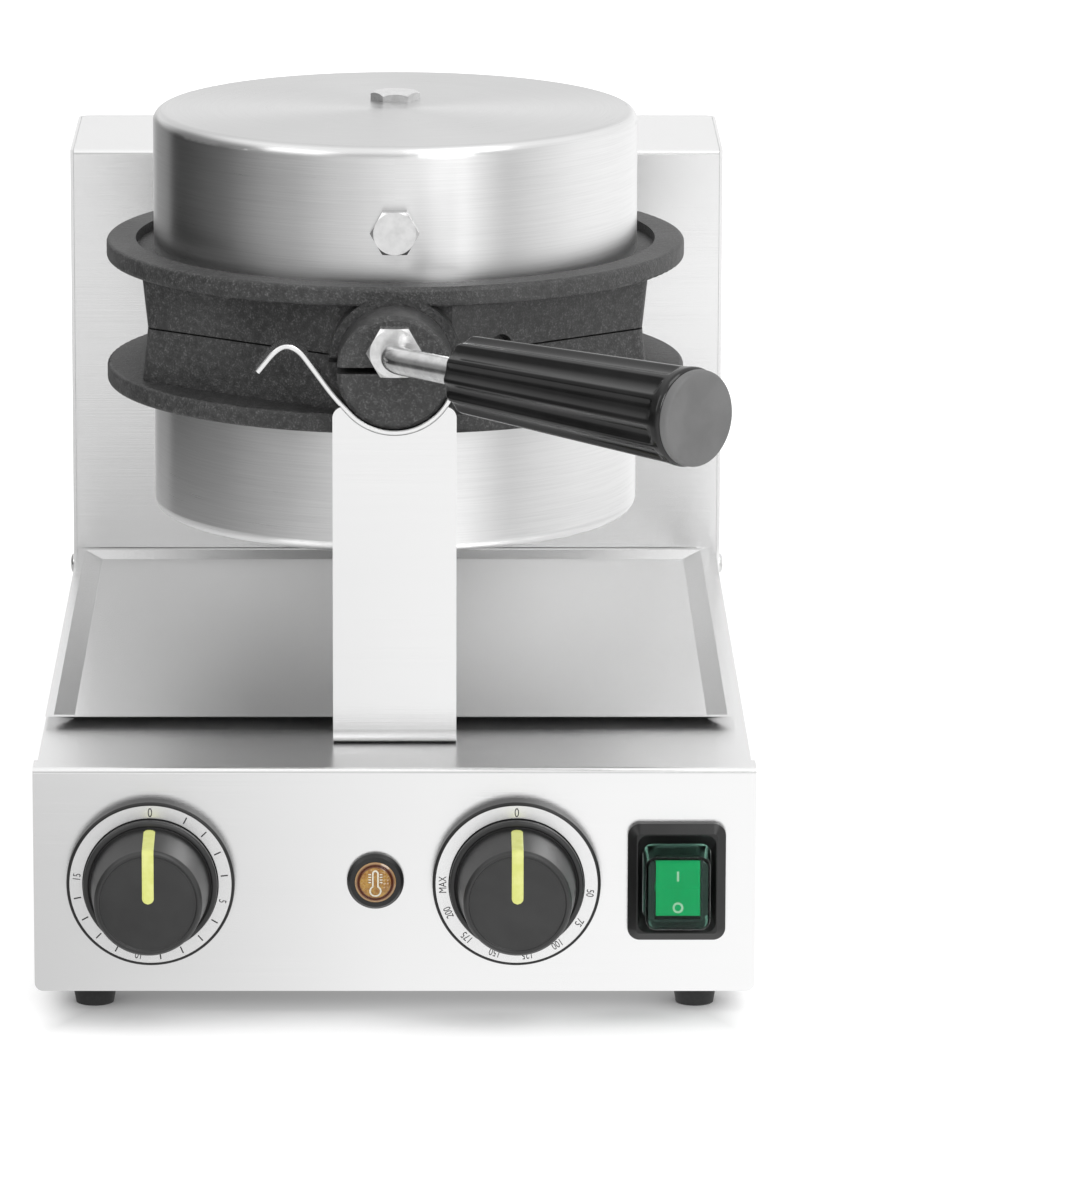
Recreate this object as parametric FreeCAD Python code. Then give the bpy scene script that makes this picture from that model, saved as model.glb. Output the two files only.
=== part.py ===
import FreeCAD, Part
import math
import os

Vector = FreeCAD.Vector

# Waffle cone maker: two heated plates in a head that turns over between a front saddle and a rear bearing.
# X points right, Y to the rear and Z up. The origin is on the floor, midway along the overall length.
# All lengths are in millimetres and all angles in degrees.

# Folded sheet base
body_width = 250.0           # front panel and rear housing
sheet = 1.2                  # stainless sheet thickness
lap_gap = 0.1                # play where one folded sheet slides over another
panel_height = 79.6
deck_depth = 341.5           # front panel to rear housing
panel_return = 12.0          # side edges of the front panel, folded back round the base
panel_corner_radius = 3.0    # lower corners of the front panel
panel_bend_radius = 2.0      # bend between front panel and deck
base_flange = 34.0           # inward flanges under the base
deck_opening_width = 90.0    # wiring way from base to rear housing
deck_opening_depth = 40.0

# Feet
foot_height = 8.0
foot_top_radius = 8.0
foot_tip_radius = 6.6
foot_inset_side = 19.0       # foot centre from the base's side
foot_inset_front = 16.0
foot_inset_rear = 26.0
foot_recess_depth = 4.0      # hollow in the foot for its screw head
foot_screw_radius = 2.0
foot_screw_head_radius = 3.6
foot_screw_head_height = 2.2
foot_screw_grip = 9.0        # shank from the head to the tip

# Rear housing and its cover
housing_height = 159.0
housing_depth = 83.0
cover_bend_radius = 4.5      # upright rear corners
cover_skirt = 14.0           # sides of the cover that reach down past the deck
screw_flange = 16.0          # folded edges that take the cover screws
vent_count = 9
vent_width = 46.0
vent_height = 4.0
vent_pitch = 9.0
vent_centre_x = 45.0         # two columns of slots, left and right
vent_centre_drop = 62.0      # middle of a column below the housing's top
cover_screw_radius = 2.0
cover_screw_head_radius = 3.8
cover_screw_head_height = 2.0
cover_screw_grip = 6.0
cover_screw_inset = 30.0     # from the cover's sides
skirt_screw_inset = 18.0     # from the skirt's front and rear edges

# Cable gland in the cover, below the deck
gland_inset = 53.0           # from the body's left side
gland_rise = 36.0            # above the base's lower edge
gland_bore_radius = 4.0
gland_thread_radius = 8.0
gland_flange_radius = 12.0
gland_flange_depth = 6.0
gland_dome_radius = 9.5
gland_dome_depth = 7.0
gland_nut_depth = 5.0
gland_tail = 12.0            # thread behind the sheet

# Base floor and terminal block
floor_slot_count = 7
floor_slot_width = 5.0
floor_slot_length = 60.0
floor_slot_pitch = 14.0
terminal_length = 58.0
terminal_depth = 24.0
terminal_height = 20.0
terminal_count = 5
terminal_hole_radius = 3.0
terminal_hole_depth = 8.0
terminal_behind = 250.0      # terminal block behind the front panel

# Crumb tray, loose on the deck
tray_front = 63.5            # front lip behind the front panel
tray_rear_gap = 0.8
tray_side_gap = 3.0          # tray narrower than the body, each side
tray_shift = -1.5            # lies a little to the left
tray_depth = 3.0
tray_border = 10.0           # width of the sloped edge
tray_sheet = 0.9

# Turning axis and saddle stand
axis_height = 132.3          # above the deck
boss_radius = 20.0           # split front boss
saddle_clearance = 0.3       # boss to saddle liner
liner_thickness = 1.6
liner_depth = 13.0
liner_seat_gap = 0.1
liner_right_angle = 25.0     # liner's right end below the horizontal
liner_left_angle = 42.3      # where it leaves the boss, below the horizontal on the left
liner_tongue = 29.3          # straight tongue up to the curl
liner_curl_radius = 3.7
liner_curl_turn = 93.0
liner_tip = 8.0
stand_width = 43.0
stand_sheet = 2.5
stand_top_drop = 11.8        # stand's top edge below the axis
stand_corner_radius = 4.0
stand_bend_radius = 3.0
stand_foot = 25.0            # foot flange, front to rear
stand_screw_x = 12.0
stand_screw_radius = 2.5
stand_screw_head_radius = 4.5
stand_screw_head_height = 2.6
stand_screw_grip = 9.0

# Head castings, measured from the middle of the head and from the turning axis
head_share = 0.4647          # head centre along the deck, from front panel to housing
parting_gap = 0.6            # between the closed halves
block_half_width = 90.0      # at the flange
block_corner_y = 42.0        # where the flat sides end
block_nose_y = 95.0          # where the slanted walls end
block_nose_half = 20.0
block_height = 19.0          # parting plane to flange
block_draft = 2.0            # walls lean in towards the parting plane
block_edge_radius = 5.0
flange_radius = 104.0
flange_thickness = 7.0
flange_edge_radius = 1.5
well_radius = 93.5           # sunk seat for the can
well_depth = 3.5
pocket_radius = 78.0         # heater pocket behind the cooking face
plate_thickness = 10.5       # cooking plate under the pocket
cooking_radius = 82.0
cooking_depth = 1.0          # cooking face below the rim
groove_pitch = 12.0          # waffle grid
groove_width = 3.4
groove_floor = 1.4
groove_depth = 1.2
boss_reach = 125.3           # boss face in front of the head centre
boss_edge = 1.5              # chamfer round the boss face
boss_split = 2.0             # flat of the upper boss half above the parting plane
recess_radius = 5.2          # half-round recess at the upper half's lower edge, right of the boss
recess_x = 37.0
recess_depth = 4.0
collar_radius = 23.0
collar_length = 9.0
collar_y = 104.0             # collar's front face in front of the head centre

# Cans over the heaters
can_radius = 87.0
can_height = 50.0            # above the seat
can_sheet = 1.0
can_edge_radius = 4.0
lug_width = 18.0             # cast lug behind the can's front bolt
lug_depth = 12.0
lug_gap = 0.3
side_bolt_rise = 43.0        # front bolt above the axis
side_bolt_flats = 15.0
side_bolt_head = 5.5
side_bolt_radius = 4.0
side_bolt_grip = 12.0
post_y = 20.0                # cast post behind the head centre
post_radius = 10.0
top_bolt_flats = 15.5
top_bolt_head = 2.8
top_bolt_radius = 4.0
top_bolt_grip = 16.0

# Tubular heaters
heater_ring_radius = 54.0
heater_tube_radius = 4.2
heater_open_angle = 40.0
heater_seat_gap = 0.05
heater_end_height = 16.0

# Rear hinge and trunnion
hinge_y = 130.0              # hinge axis behind the head centre
hinge_barrel_radius = 11.0
hinge_pin_radius = 5.0
hinge_seat_gap = 0.02        # pin held in the lower half
running_gap = 0.05           # pin and shaft where they turn
neck_half = 20.0
ear_gap = 0.5                # between neck and ears
ear_width = 12.0
ear_height = 14.0
ear_root_y = 80.0
pin_head_radius = 7.5
pin_head_length = 3.0
pin_clip_length = 2.0
hub_radius = 20.0
hub_end_gap = 6.0            # hub to rear housing
shaft_radius = 14.0
shaft_bore_radius = 8.0      # wiring way
shaft_engagement = 20.0      # length pressed into the hub
bush_wall = 4.0
bush_flange = 3.0
bush_flange_radius = 23.0
bush_length = 20.0           # behind the housing's front sheet
bearing_plate_half = 42.0
bearing_plate_above = 24.0   # from the axis up, under the housing's top
bearing_plate_below = 42.0
bearing_plate_thickness = 8.0
shaft_nut_radius = 21.0
shaft_nut_length = 8.0
shaft_nut_gap = 0.4
shaft_tail = 4.0             # shaft past its nut

# Handle
handle_rise = 8.5            # rod above the turning axis
handle_rod_radius = 4.75
handle_bend = 45.0
handle_bend_radius = 12.0
handle_straight = 20.0       # boss face to the corner of the bend
handle_reach = 143.7         # corner of the bend to the grip's end
handle_thread = 22.0         # rod inside the boss
handle_nut_flats = 17.0
handle_nut_length = 8.0
grip_length = 120.0
grip_inner_radius = 12.8
grip_outer_radius = 16.8
grip_inner_round = 5.0
grip_flute_count = 12
grip_flute_radius = 5.5
grip_flute_depth = 1.0
grip_flute_inset = 8.0       # plain length before the flutes start
grip_collar = 6.5            # and after they end
grip_socket = 70.0           # rod inside the grip
grip_rod_gap = 0.02
cap_thickness = 4.0
cap_edge_radius = 1.6

# Controls on the front panel
timer_inset = 40.7           # from the body's left side
lamp_share = 0.6142          # lamp's place on the way from timer to thermostat
thermostat_inset = 82.8      # from the body's right side
switch_inset = 27.4          # from the body's right side
bezel_radius = 29.1
bezel_depth = 6.0
bezel_edge_radius = 1.5
dial_outer_radius = 28.0
dial_inner_radius = 23.6
dial_thickness = 0.8
dial_proud = 0.1
knob_gap = 0.6               # knob to bezel
knob_skirt_radius = 23.2
knob_lip = 1.2               # bevel round the skirt's upper edge
knob_root_radius = 20.8      # cone where it leaves the skirt
knob_cap_radius = 18.5
knob_face_radius = 17.5
knob_skirt_depth = 3.0
knob_depth = 26.0
knob_edge_depth = 1.2
knob_groove_radius = 16.7    # ring groove round the face
knob_groove_width = 0.7
knob_groove_depth = 0.5
pointer_width = 4.0
pointer_start = 1.6          # above the skirt
pointer_proud = 0.25
pointer_sunk = 0.9
spindle_radius = 3.0
spindle_in_knob = 17.0
spindle_in_body = 18.0
collar_bush_radius = 5.0     # threaded bush of timer and thermostat
collar_bush_gap = 0.2
timer_body_size = 46.0
timer_body_depth = 36.0
thermostat_body_size = 38.0
thermostat_body_depth = 30.0

# Pilot lamp
lamp_bezel_radius = 9.85
lamp_bezel_depth = 3.2
lamp_lens_radius = 7.1
lamp_lens_seat = 1.2
lamp_lens_dome = 1.7
lamp_neck_radius = 6.2
lamp_neck_wall = 1.2
lamp_body_radius = 8.0
lamp_body_depth = 24.0
part_gap = 0.1               # play between small moulded pieces

# Rocker switch under a clear boot
switch_frame_width = 33.9
switch_frame_height = 41.5
switch_frame_corner = 4.3
switch_frame_depth = 5.5
switch_frame_bevel = 3.0
switch_frame_land = 0.4      # flat ridge between the bevel and the inner slope
switch_funnel = 3.0          # depth of the slope down to the boot
boot_width = 23.4
boot_height = 27.0
boot_corner = 3.5
boot_taper = 0.6             # narrower at the front, each side
boot_edge_radius = 1.8
boot_depth = 20.0
boot_wall = 0.9
switch_collar_width = 19.6
switch_collar_height = 23.2
switch_collar_depth = 12.6
switch_body_depth = 26.0
rocker_pivot = 9.0           # rocker's pins in front of the panel
rocker_width = 15.2
rocker_height = 18.4
rocker_depth = 8.0
rocker_dip = 1.3             # face sinks this much at the middle
rocker_back = 3.0            # rocker behind its pivot
rocker_tilt = 9.0            # each way from level
rocker_side_gap = 0.35
rocker_end_gap = 1.5
rocker_pin_radius = 1.5
rocker_pin_length = 1.4

# Cutting tools run past the faces that they cut by this much
overcut = 1.0

# Places that follow from the sizes above
deck_z = foot_height + panel_height
control_z = foot_height + panel_height / 2
base_depth = deck_depth + housing_depth
base_half = body_width / 2 - sheet - lap_gap
gland_x = gland_inset - body_width / 2
tray_width = body_width - tray_side_gap * 2
timer_x = timer_inset - body_width / 2
thermostat_x = body_width / 2 - thermostat_inset
switch_x = body_width / 2 - switch_inset
lamp_x = timer_x + (thermostat_x - timer_x) * lamp_share
axis_z = deck_z + axis_height
bend_sine = math.sin(math.radians(handle_bend))
bend_cosine = math.cos(math.radians(handle_bend))
head_behind = deck_depth * head_share
boss_behind = head_behind - boss_reach
stand_front = boss_behind
tip_reach = (handle_reach - cap_edge_radius) * bend_cosine
tip_reach += (grip_outer_radius - cap_edge_radius) * bend_sine + cap_edge_radius
front_overhang = tip_reach + handle_straight - boss_behind
rear_end = base_depth + gland_flange_depth + gland_dome_depth
panel_y = (front_overhang - rear_end) / 2
housing_y = panel_y + deck_depth
back_y = panel_y + base_depth
housing_top = deck_z + housing_height
head_y = panel_y + head_behind
saddle_radius = boss_radius + saddle_clearance
notch_radius = saddle_radius + liner_thickness + liner_seat_gap
seat_z = block_height + flange_thickness - well_depth
pocket_z = parting_gap / 2 + plate_thickness
can_top = seat_z + can_height
bush_radius = shaft_radius + bush_wall
housing_from_head = deck_depth - head_behind
hub_end = housing_from_head - hub_end_gap
shaft_nut_y = housing_from_head + bush_length + shaft_nut_gap
foot_places = [
    (side * (base_half - foot_inset_side), y)
    for side in (-1, 1)
    for y in (panel_y + foot_inset_front, back_y - foot_inset_rear)
]


def box(x0, x1, y0, y1, z0, z1):
    """A block between two corners."""
    return Part.makeBox(x1 - x0, y1 - y0, z1 - z0, Vector(x0, y0, z0))


def rod(radius, start, direction, length):
    """A round bar from a start point along a direction."""
    return Part.makeCylinder(radius, length, Vector(*start), Vector(*direction))


def hexagon_corner(flats):
    """Corner radius of a hexagon from the distance across its flats."""
    return flats / 2 / math.cos(math.radians(30))


def hexagon_bar(flats, start, direction, length):
    """A hexagonal bar whose far end is chamfered by a cone."""
    corner = hexagon_corner(flats)
    points = [
        Vector(corner * math.cos(math.radians(60 * i)), corner * math.sin(math.radians(60 * i)), 0)
        for i in range(7)
    ]
    bar = Part.Face(Part.makePolygon(points)).extrude(Vector(0, 0, length))
    crown = flats / 2
    limit = Part.makeCone(crown + length * math.tan(math.radians(60)), crown, length)
    bar = bar.common(limit)
    bar.Placement = FreeCAD.Placement(
        Vector(*start), FreeCAD.Rotation(Vector(0, 0, 1), Vector(*direction)))
    return bar


def turned(points):
    """A solid of revolution about Z from (radius, z) corner points."""
    outline = [Vector(radius, 0, z) for radius, z in points]
    face = Part.Face(Part.makePolygon(outline + outline[:1]))
    return face.revolve(Vector(0, 0, 0), Vector(0, 0, 1), 360)


def rounded_plate(width, height, corner, z0, z1):
    """A plate in the XY plane with rounded corners."""
    plate = box(-width / 2, width / 2, -height / 2, height / 2, z0, z1)
    uprights = [edge for edge in plate.Edges if abs(edge.tangentAt(edge.FirstParameter).z) > 0.99]
    return plate.makeFillet(corner, uprights)


def rounded_outline(width, height, corner, z):
    """The outline of such a plate at one height."""
    plate = rounded_plate(width, height, corner, z, z + overcut)
    return [face for face in plate.Faces if near(face.CenterOfMass.z, z)][0].OuterWire


def slot(width, height, depth):
    """A round-ended slot cutter along X, centred, as deep as depth along Y."""
    radius = height / 2
    reach = width / 2 - radius
    bar = box(-reach, reach, -depth / 2, depth / 2, -radius, radius)
    for side in (-1, 1):
        bar = bar.fuse(rod(radius, (side * reach, -depth / 2, 0), (0, 1, 0), depth))
    return bar


def edges_where(shape, test):
    """Edges whose centre of mass passes a test."""
    return [edge for edge in shape.Edges if test(edge.CenterOfMass, edge)]


def runs_along(edge, axis):
    """True for a straight edge along one axis, given as its index."""
    ends = [vertex.Point for vertex in edge.Vertexes]
    if len(ends) < 2:
        return False
    step = ends[1] - ends[0]
    return abs(abs(step[axis]) - step.Length) < 1e-6 and abs(step.Length - edge.Length) < 1e-6


def near(a, b):
    return abs(a - b) < 0.01


def moved(shape, x, y, z):
    """The same shape, set down at a place."""
    copy = shape.copy()
    copy.translate(Vector(x, y, z))
    return copy


def on_panel(shape, x):
    """Turns a control built with +Z outwards to face forwards, and sets it on the front panel."""
    copy = shape.copy()
    copy.rotate(Vector(0, 0, 0), Vector(1, 0, 0), 90)
    return moved(copy, x, panel_y, control_z)


def in_head(shape):
    """Sets a piece built about the head's centre in its place."""
    return moved(shape, 0, head_y, axis_z)


def bent_strip(start, heading, moves, thickness):
    """A face in the XZ plane: a strip of sheet on the left of a path of straight runs and bends.
    Each move is (length, None) or (radius, turn), with left turns positive."""
    def normal(angle):
        return Vector(-math.sin(angle), 0, math.cos(angle))

    near_side, far_side = [], []
    point, angle = Vector(start[0], 0, start[1]), math.radians(heading)
    for size, turn in moves:
        if turn is None:
            end = point + Vector(math.cos(angle), 0, math.sin(angle)) * size
            for edges, shift in ((near_side, 0), (far_side, thickness)):
                offset = normal(angle) * shift
                edges.append(Part.LineSegment(point + offset, end + offset).toShape())
            point = end
            continue
        sign = math.copysign(1, turn)
        centre = point + normal(angle) * (sign * size)
        sweep = math.radians(turn)
        for edges, shift in ((near_side, 0), (far_side, thickness)):
            radius = size - sign * shift
            spots = [centre - normal(angle + sweep * share) * (sign * radius) for share in (0, 0.5, 1)]
            edges.append(Part.Arc(*spots).toShape())
        angle += sweep
        point = centre - normal(angle) * (sign * size)
    ends = [
        Part.LineSegment(near_side[0].valueAt(near_side[0].FirstParameter),
                         far_side[0].valueAt(far_side[0].FirstParameter)).toShape(),
        Part.LineSegment(near_side[-1].valueAt(near_side[-1].LastParameter),
                         far_side[-1].valueAt(far_side[-1].LastParameter)).toShape(),
    ]
    outline = Part.Wire(Part.__sortEdges__(near_side + far_side + ends))
    return Part.Face(outline)


# Base

def base_shell():
    """Deck, front panel and sides folded from sheet, open below and behind."""
    top_front = panel_y + panel_return
    rear = back_y - cover_bend_radius - lap_gap
    shell = box(-base_half, base_half, panel_y + sheet, rear, foot_height, deck_z)
    half = body_width / 2
    front = box(-half, half, panel_y, top_front, foot_height, deck_z)
    corners = edges_where(front, lambda c, e: runs_along(e, 1) and near(c.z, foot_height))
    front = front.makeFillet(panel_corner_radius, corners)
    shell = shell.fuse(front).removeSplitter()
    bend = edges_where(shell, lambda c, e: runs_along(e, 0) and near(c.y, panel_y) and near(c.z, deck_z))
    shell = shell.makeFillet(panel_bend_radius, bend)
    inside = base_half - sheet
    shell = shell.cut(box(-inside, inside, panel_y + sheet, back_y, foot_height + sheet, deck_z - sheet))
    opening = base_half - base_flange
    shell = shell.cut(box(-opening, opening, panel_y + base_flange, back_y, 0, deck_z - sheet * 2))
    middle = housing_y + housing_depth / 2
    wiring = box(-deck_opening_width / 2, deck_opening_width / 2, middle - deck_opening_depth / 2,
                 middle + deck_opening_depth / 2, deck_z - sheet * 2, deck_z + sheet)
    cutters = [wiring]
    through = sheet * 4
    for x in (timer_x, thermostat_x):
        radius = collar_bush_radius + collar_bush_gap
        cutters.append(on_panel(rod(radius, (0, 0, -through / 2), (0, 0, 1), through), x))
    lamp_hole = rod(lamp_neck_radius + part_gap, (0, 0, -through / 2), (0, 0, 1), through)
    cutters.append(on_panel(lamp_hole, lamp_x))
    hole_width = switch_collar_width + part_gap * 2
    hole_height = switch_collar_height + part_gap * 2
    switch_hole = box(-hole_width / 2, hole_width / 2, -hole_height / 2, hole_height / 2,
                      -through / 2, through / 2)
    cutters.append(on_panel(switch_hole, switch_x))
    for x, y in foot_places:
        cutters.append(rod(foot_screw_radius, (x, y, 0), (0, 0, 1), foot_height + sheet * 2))
    for x, y in stand_screw_places():
        cutters.append(rod(stand_screw_radius, (x, y, deck_z - sheet * 2), (0, 0, 1), sheet * 4))
    for x, y, z in skirt_screw_places():
        cutters.append(rod(cover_screw_radius, (x - through, y, z), (1, 0, 0), through * 2))
    return shell.cut(cutters)


def bottom_plate():
    """Floor of the base, resting on its inward flanges, with cooling slots and a folded rear edge."""
    half = base_half - sheet - lap_gap
    front = panel_y + sheet + lap_gap
    rear = back_y - sheet - lap_gap
    low = foot_height + sheet
    plate = box(-half, half, front, rear, low, low + sheet)
    corners = edges_where(plate, lambda c, e: runs_along(e, 2) and near(c.y, rear))
    plate = plate.makeFillet(cover_bend_radius, corners)
    fold = half - cover_bend_radius
    plate = plate.fuse(box(-fold, fold, rear - sheet, rear, low, low + screw_flange)).removeSplitter()
    cutters = []
    middle = panel_y + base_depth / 2
    for i in range(floor_slot_count):
        cutter = slot(floor_slot_length, floor_slot_width, sheet * 4)
        cutter.rotate(Vector(0, 0, 0), Vector(1, 0, 0), 90)
        y = middle + (i - (floor_slot_count - 1) / 2) * floor_slot_pitch
        cutters.append(moved(cutter, 0, y, low + sheet / 2))
    for x, y in foot_places:
        cutters.append(rod(foot_screw_radius, (x, y, low - sheet), (0, 0, 1), sheet * 4))
    for x, z in back_screw_places()[:2]:
        cutters.append(rod(cover_screw_radius, (x, rear - sheet * 2, z), (0, 1, 0), sheet * 4))
    return plate.cut(cutters)


def rubber_feet():
    """Tapered rubber feet with a sunk hole for the screw."""
    foot = Part.makeCone(foot_tip_radius, foot_top_radius, foot_height)
    foot = foot.cut(rod(foot_screw_radius, (0, 0, -overcut), (0, 0, 1), foot_height + overcut * 2))
    recess = rod(foot_screw_head_radius + part_gap, (0, 0, -overcut), (0, 0, 1), foot_recess_depth + overcut)
    foot = foot.cut(recess)
    return Part.makeCompound([moved(foot, x, y, 0) for x, y in foot_places])


def screw(head_radius, head_height, shank_radius, grip):
    """A pan-head screw whose head sits on Z = 0, with the shank going down."""
    head = rod(head_radius, (0, 0, 0), (0, 0, 1), head_height)
    rim = edges_where(head, lambda c, e: near(c.z, head_height) and e.Length > head_radius)
    head = head.makeFillet(head_height * 0.6, rim)
    return head.fuse(rod(shank_radius, (0, 0, -grip), (0, 0, 1), grip + head_height / 2)).removeSplitter()


def foot_screws():
    piece = screw(foot_screw_head_radius, foot_screw_head_height, foot_screw_radius, foot_screw_grip)
    piece.rotate(Vector(0, 0, 0), Vector(1, 0, 0), 180)
    return Part.makeCompound([moved(piece, x, y, foot_recess_depth) for x, y in foot_places])


def rear_housing():
    """Front and top of the rear box folded from one sheet, with flanges on the deck and behind the cover."""
    half = body_width / 2 - sheet - lap_gap
    rear = back_y - sheet - lap_gap
    solid = box(-half, half, housing_y, rear, deck_z, housing_top)
    bend = edges_where(solid, lambda c, e: runs_along(e, 0) and near(c.y, housing_y)
                       and near(c.z, housing_top))
    solid = solid.makeFillet(panel_bend_radius, bend)
    corners = edges_where(solid, lambda c, e: runs_along(e, 2) and near(c.y, rear))
    solid = solid.makeFillet(cover_bend_radius - sheet, corners)
    wide = half + overcut
    inner = box(-wide, wide, housing_y + sheet, rear - sheet, deck_z + sheet, housing_top - sheet)
    solid = solid.cut(inner)
    solid = solid.cut(box(-wide, wide, housing_y + screw_flange, rear + overcut, deck_z - overcut,
                          deck_z + sheet * 2))
    solid = solid.cut(box(-wide, wide, rear - sheet * 2, rear + overcut, deck_z - overcut,
                          housing_top - screw_flange))
    cutters = [rod(bush_radius, (0, housing_y - overcut, axis_z), (0, 1, 0), sheet + overcut * 2)]
    for x, z in back_screw_places()[2:]:
        cutters.append(rod(cover_screw_radius, (x, rear - sheet * 2, z), (0, 1, 0), sheet * 4))
    return solid.cut(cutters)


def back_screw_places():
    """Screws in the back of the cover: two low ones, then two high ones."""
    x = body_width / 2 - cover_screw_inset
    low = foot_height + sheet + screw_flange / 2
    high = housing_top - screw_flange / 2
    return [(-x, low), (x, low), (-x, high), (x, high)]


def skirt_screw_places():
    """Screws through the cover's skirts into the base's sides."""
    z = deck_z - cover_skirt / 2
    return [(side * body_width / 2, y, z) for side in (-1, 1)
            for y in (housing_y + skirt_screw_inset, back_y - skirt_screw_inset)]


def rear_cover():
    """Sides and back wrapped round the rear box in one sheet, with cooling slots."""
    half = body_width / 2
    outer = box(-half, half, housing_y, back_y, foot_height, housing_top)
    corners = edges_where(outer, lambda c, e: runs_along(e, 2) and near(c.y, back_y))
    outer = outer.makeFillet(cover_bend_radius, corners)
    inner = box(-half + sheet, half - sheet, housing_y - overcut, back_y - sheet, foot_height - overcut,
                housing_top + overcut)
    corners = edges_where(inner, lambda c, e: runs_along(e, 2) and near(c.y, back_y - sheet))
    inner = inner.makeFillet(cover_bend_radius - sheet, corners)
    cover = outer.cut(inner)
    below = deck_z - cover_skirt
    wide = half + overcut
    cover = cover.cut(box(-wide, wide, housing_y - overcut, back_y - cover_bend_radius, 0, below))
    cutters = []
    for side in (-1, 1):
        for i in range(vent_count):
            z = housing_top - vent_centre_drop + (i - (vent_count - 1) / 2) * vent_pitch
            cutters.append(moved(slot(vent_width, vent_height, sheet * 4), side * vent_centre_x, back_y, z))
    for x, z in back_screw_places():
        cutters.append(rod(cover_screw_radius, (x, back_y - sheet * 2, z), (0, 1, 0), sheet * 4))
    for x, y, z in skirt_screw_places():
        cutters.append(rod(cover_screw_radius, (x - sheet * 2, y, z), (1, 0, 0), sheet * 4))
    cutters.append(rod(gland_thread_radius, (gland_x, back_y - sheet * 2, foot_height + gland_rise),
                       (0, 1, 0), sheet * 4))
    return cover.cut(cutters)


def cover_screws():
    piece = screw(cover_screw_head_radius, cover_screw_head_height, cover_screw_radius, cover_screw_grip)
    screws = []
    for x, z in back_screw_places():
        copy = piece.copy()
        copy.rotate(Vector(0, 0, 0), Vector(1, 0, 0), -90)
        screws.append(moved(copy, x, back_y, z))
    for x, y, z in skirt_screw_places():
        copy = piece.copy()
        copy.rotate(Vector(0, 0, 0), Vector(0, 1, 0), math.copysign(90, x))
        screws.append(moved(copy, x, y, z))
    return Part.makeCompound(screws)


def cable_gland():
    """Flanged inlet with a through bore for the mains lead."""
    place = (gland_x, back_y, foot_height + gland_rise)
    flange = hexagon_bar(gland_flange_radius * 2 * math.cos(math.radians(30)), (0, 0, 0), (0, 0, 1),
                         gland_flange_depth)
    dome = rod(gland_dome_radius, (0, 0, gland_flange_depth / 2), (0, 0, 1),
               gland_flange_depth / 2 + gland_dome_depth)
    rim = edges_where(dome, lambda c, e: near(c.z, gland_flange_depth + gland_dome_depth)
                      and e.Length > gland_dome_radius)
    dome = dome.makeFillet((gland_dome_radius - gland_bore_radius) * 0.5, rim)
    tail = rod(gland_thread_radius, (0, 0, -sheet - gland_tail), (0, 0, 1), sheet + gland_tail + overcut)
    piece = flange.fuse([dome, tail])
    length = sheet + gland_tail + gland_flange_depth + gland_dome_depth
    piece = piece.cut(rod(gland_bore_radius, (0, 0, -sheet - gland_tail - overcut), (0, 0, 1),
                          length + overcut * 2))
    piece.rotate(Vector(0, 0, 0), Vector(1, 0, 0), -90)
    return moved(piece.removeSplitter(), *place)


def gland_nut():
    nut = hexagon_bar(gland_flange_radius * 2 * math.cos(math.radians(30)), (0, 0, 0), (0, 0, 1),
                      gland_nut_depth)
    nut = nut.cut(rod(gland_thread_radius, (0, 0, -overcut), (0, 0, 1), gland_nut_depth + overcut * 2))
    nut.rotate(Vector(0, 0, 0), Vector(1, 0, 0), 90)
    return moved(nut, gland_x, back_y - sheet, foot_height + gland_rise)


def terminal_block():
    """Screw terminals on the base floor."""
    low = foot_height + sheet * 2
    y = panel_y + terminal_behind
    block = box(-terminal_length / 2, terminal_length / 2, y - terminal_depth / 2, y + terminal_depth / 2,
                low, low + terminal_height)
    pitch = terminal_length / terminal_count
    holes = []
    for i in range(terminal_count):
        x = (i - (terminal_count - 1) / 2) * pitch
        holes.append(rod(terminal_hole_radius, (x, y, low + terminal_height - terminal_hole_depth),
                         (0, 0, 1), terminal_hole_depth + overcut))
    return block.cut(holes)


def crumb_tray():
    """Shallow loose tray with sloped edges: a low frustum, less the same frustum raised by the sheet."""
    front = panel_y + tray_front
    rear = housing_y - tray_rear_gap

    def rectangle(inset, z):
        left = tray_shift - tray_width / 2 + inset
        right = tray_shift + tray_width / 2 - inset
        corners = [(left, front + inset), (right, front + inset), (right, rear - inset), (left, rear - inset)]
        points = [Vector(x, y, z) for x, y in corners]
        return Part.makePolygon(points + points[:1])

    body = Part.makeLoft([rectangle(tray_border, deck_z), rectangle(0, deck_z + tray_depth)], True, True)
    return body.cut(moved(body, 0, 0, tray_sheet))


# Saddle stand

def stand_screw_places():
    y = panel_y + stand_front + stand_sheet + stand_bend_radius
    reach = stand_foot - stand_sheet - stand_bend_radius
    return [(side * stand_screw_x, y + reach / 2) for side in (-1, 1)]


def front_stand():
    """Upright strip with a round notch for the boss, folded back into a foot on the deck."""
    height = axis_height - stand_top_drop
    outer_bend = stand_bend_radius + stand_sheet
    moves = [(height - outer_bend, None), (outer_bend, 90), (stand_foot - outer_bend, None)]
    strip = bent_strip((0, height), -90, moves, stand_sheet)
    strip = strip.extrude(Vector(0, stand_width, 0))
    strip.rotate(Vector(0, 0, 0), Vector(0, 0, 1), 90)
    strip = moved(strip, stand_width / 2, panel_y + stand_front, deck_z)
    corners = edges_where(strip, lambda c, e: runs_along(e, 1) and near(c.z, deck_z + height))
    strip = strip.makeFillet(stand_corner_radius, corners)
    cutters = [rod(notch_radius, (0, panel_y + stand_front - overcut, axis_z), (0, 1, 0), stand_foot)]
    cutters.append(liner_strip(liner_thickness + liner_seat_gap))
    for x, y in stand_screw_places():
        cutters.append(rod(stand_screw_radius, (x, y, deck_z), (0, 0, 1), stand_sheet + overcut))
    return strip.cut(cutters)


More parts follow.
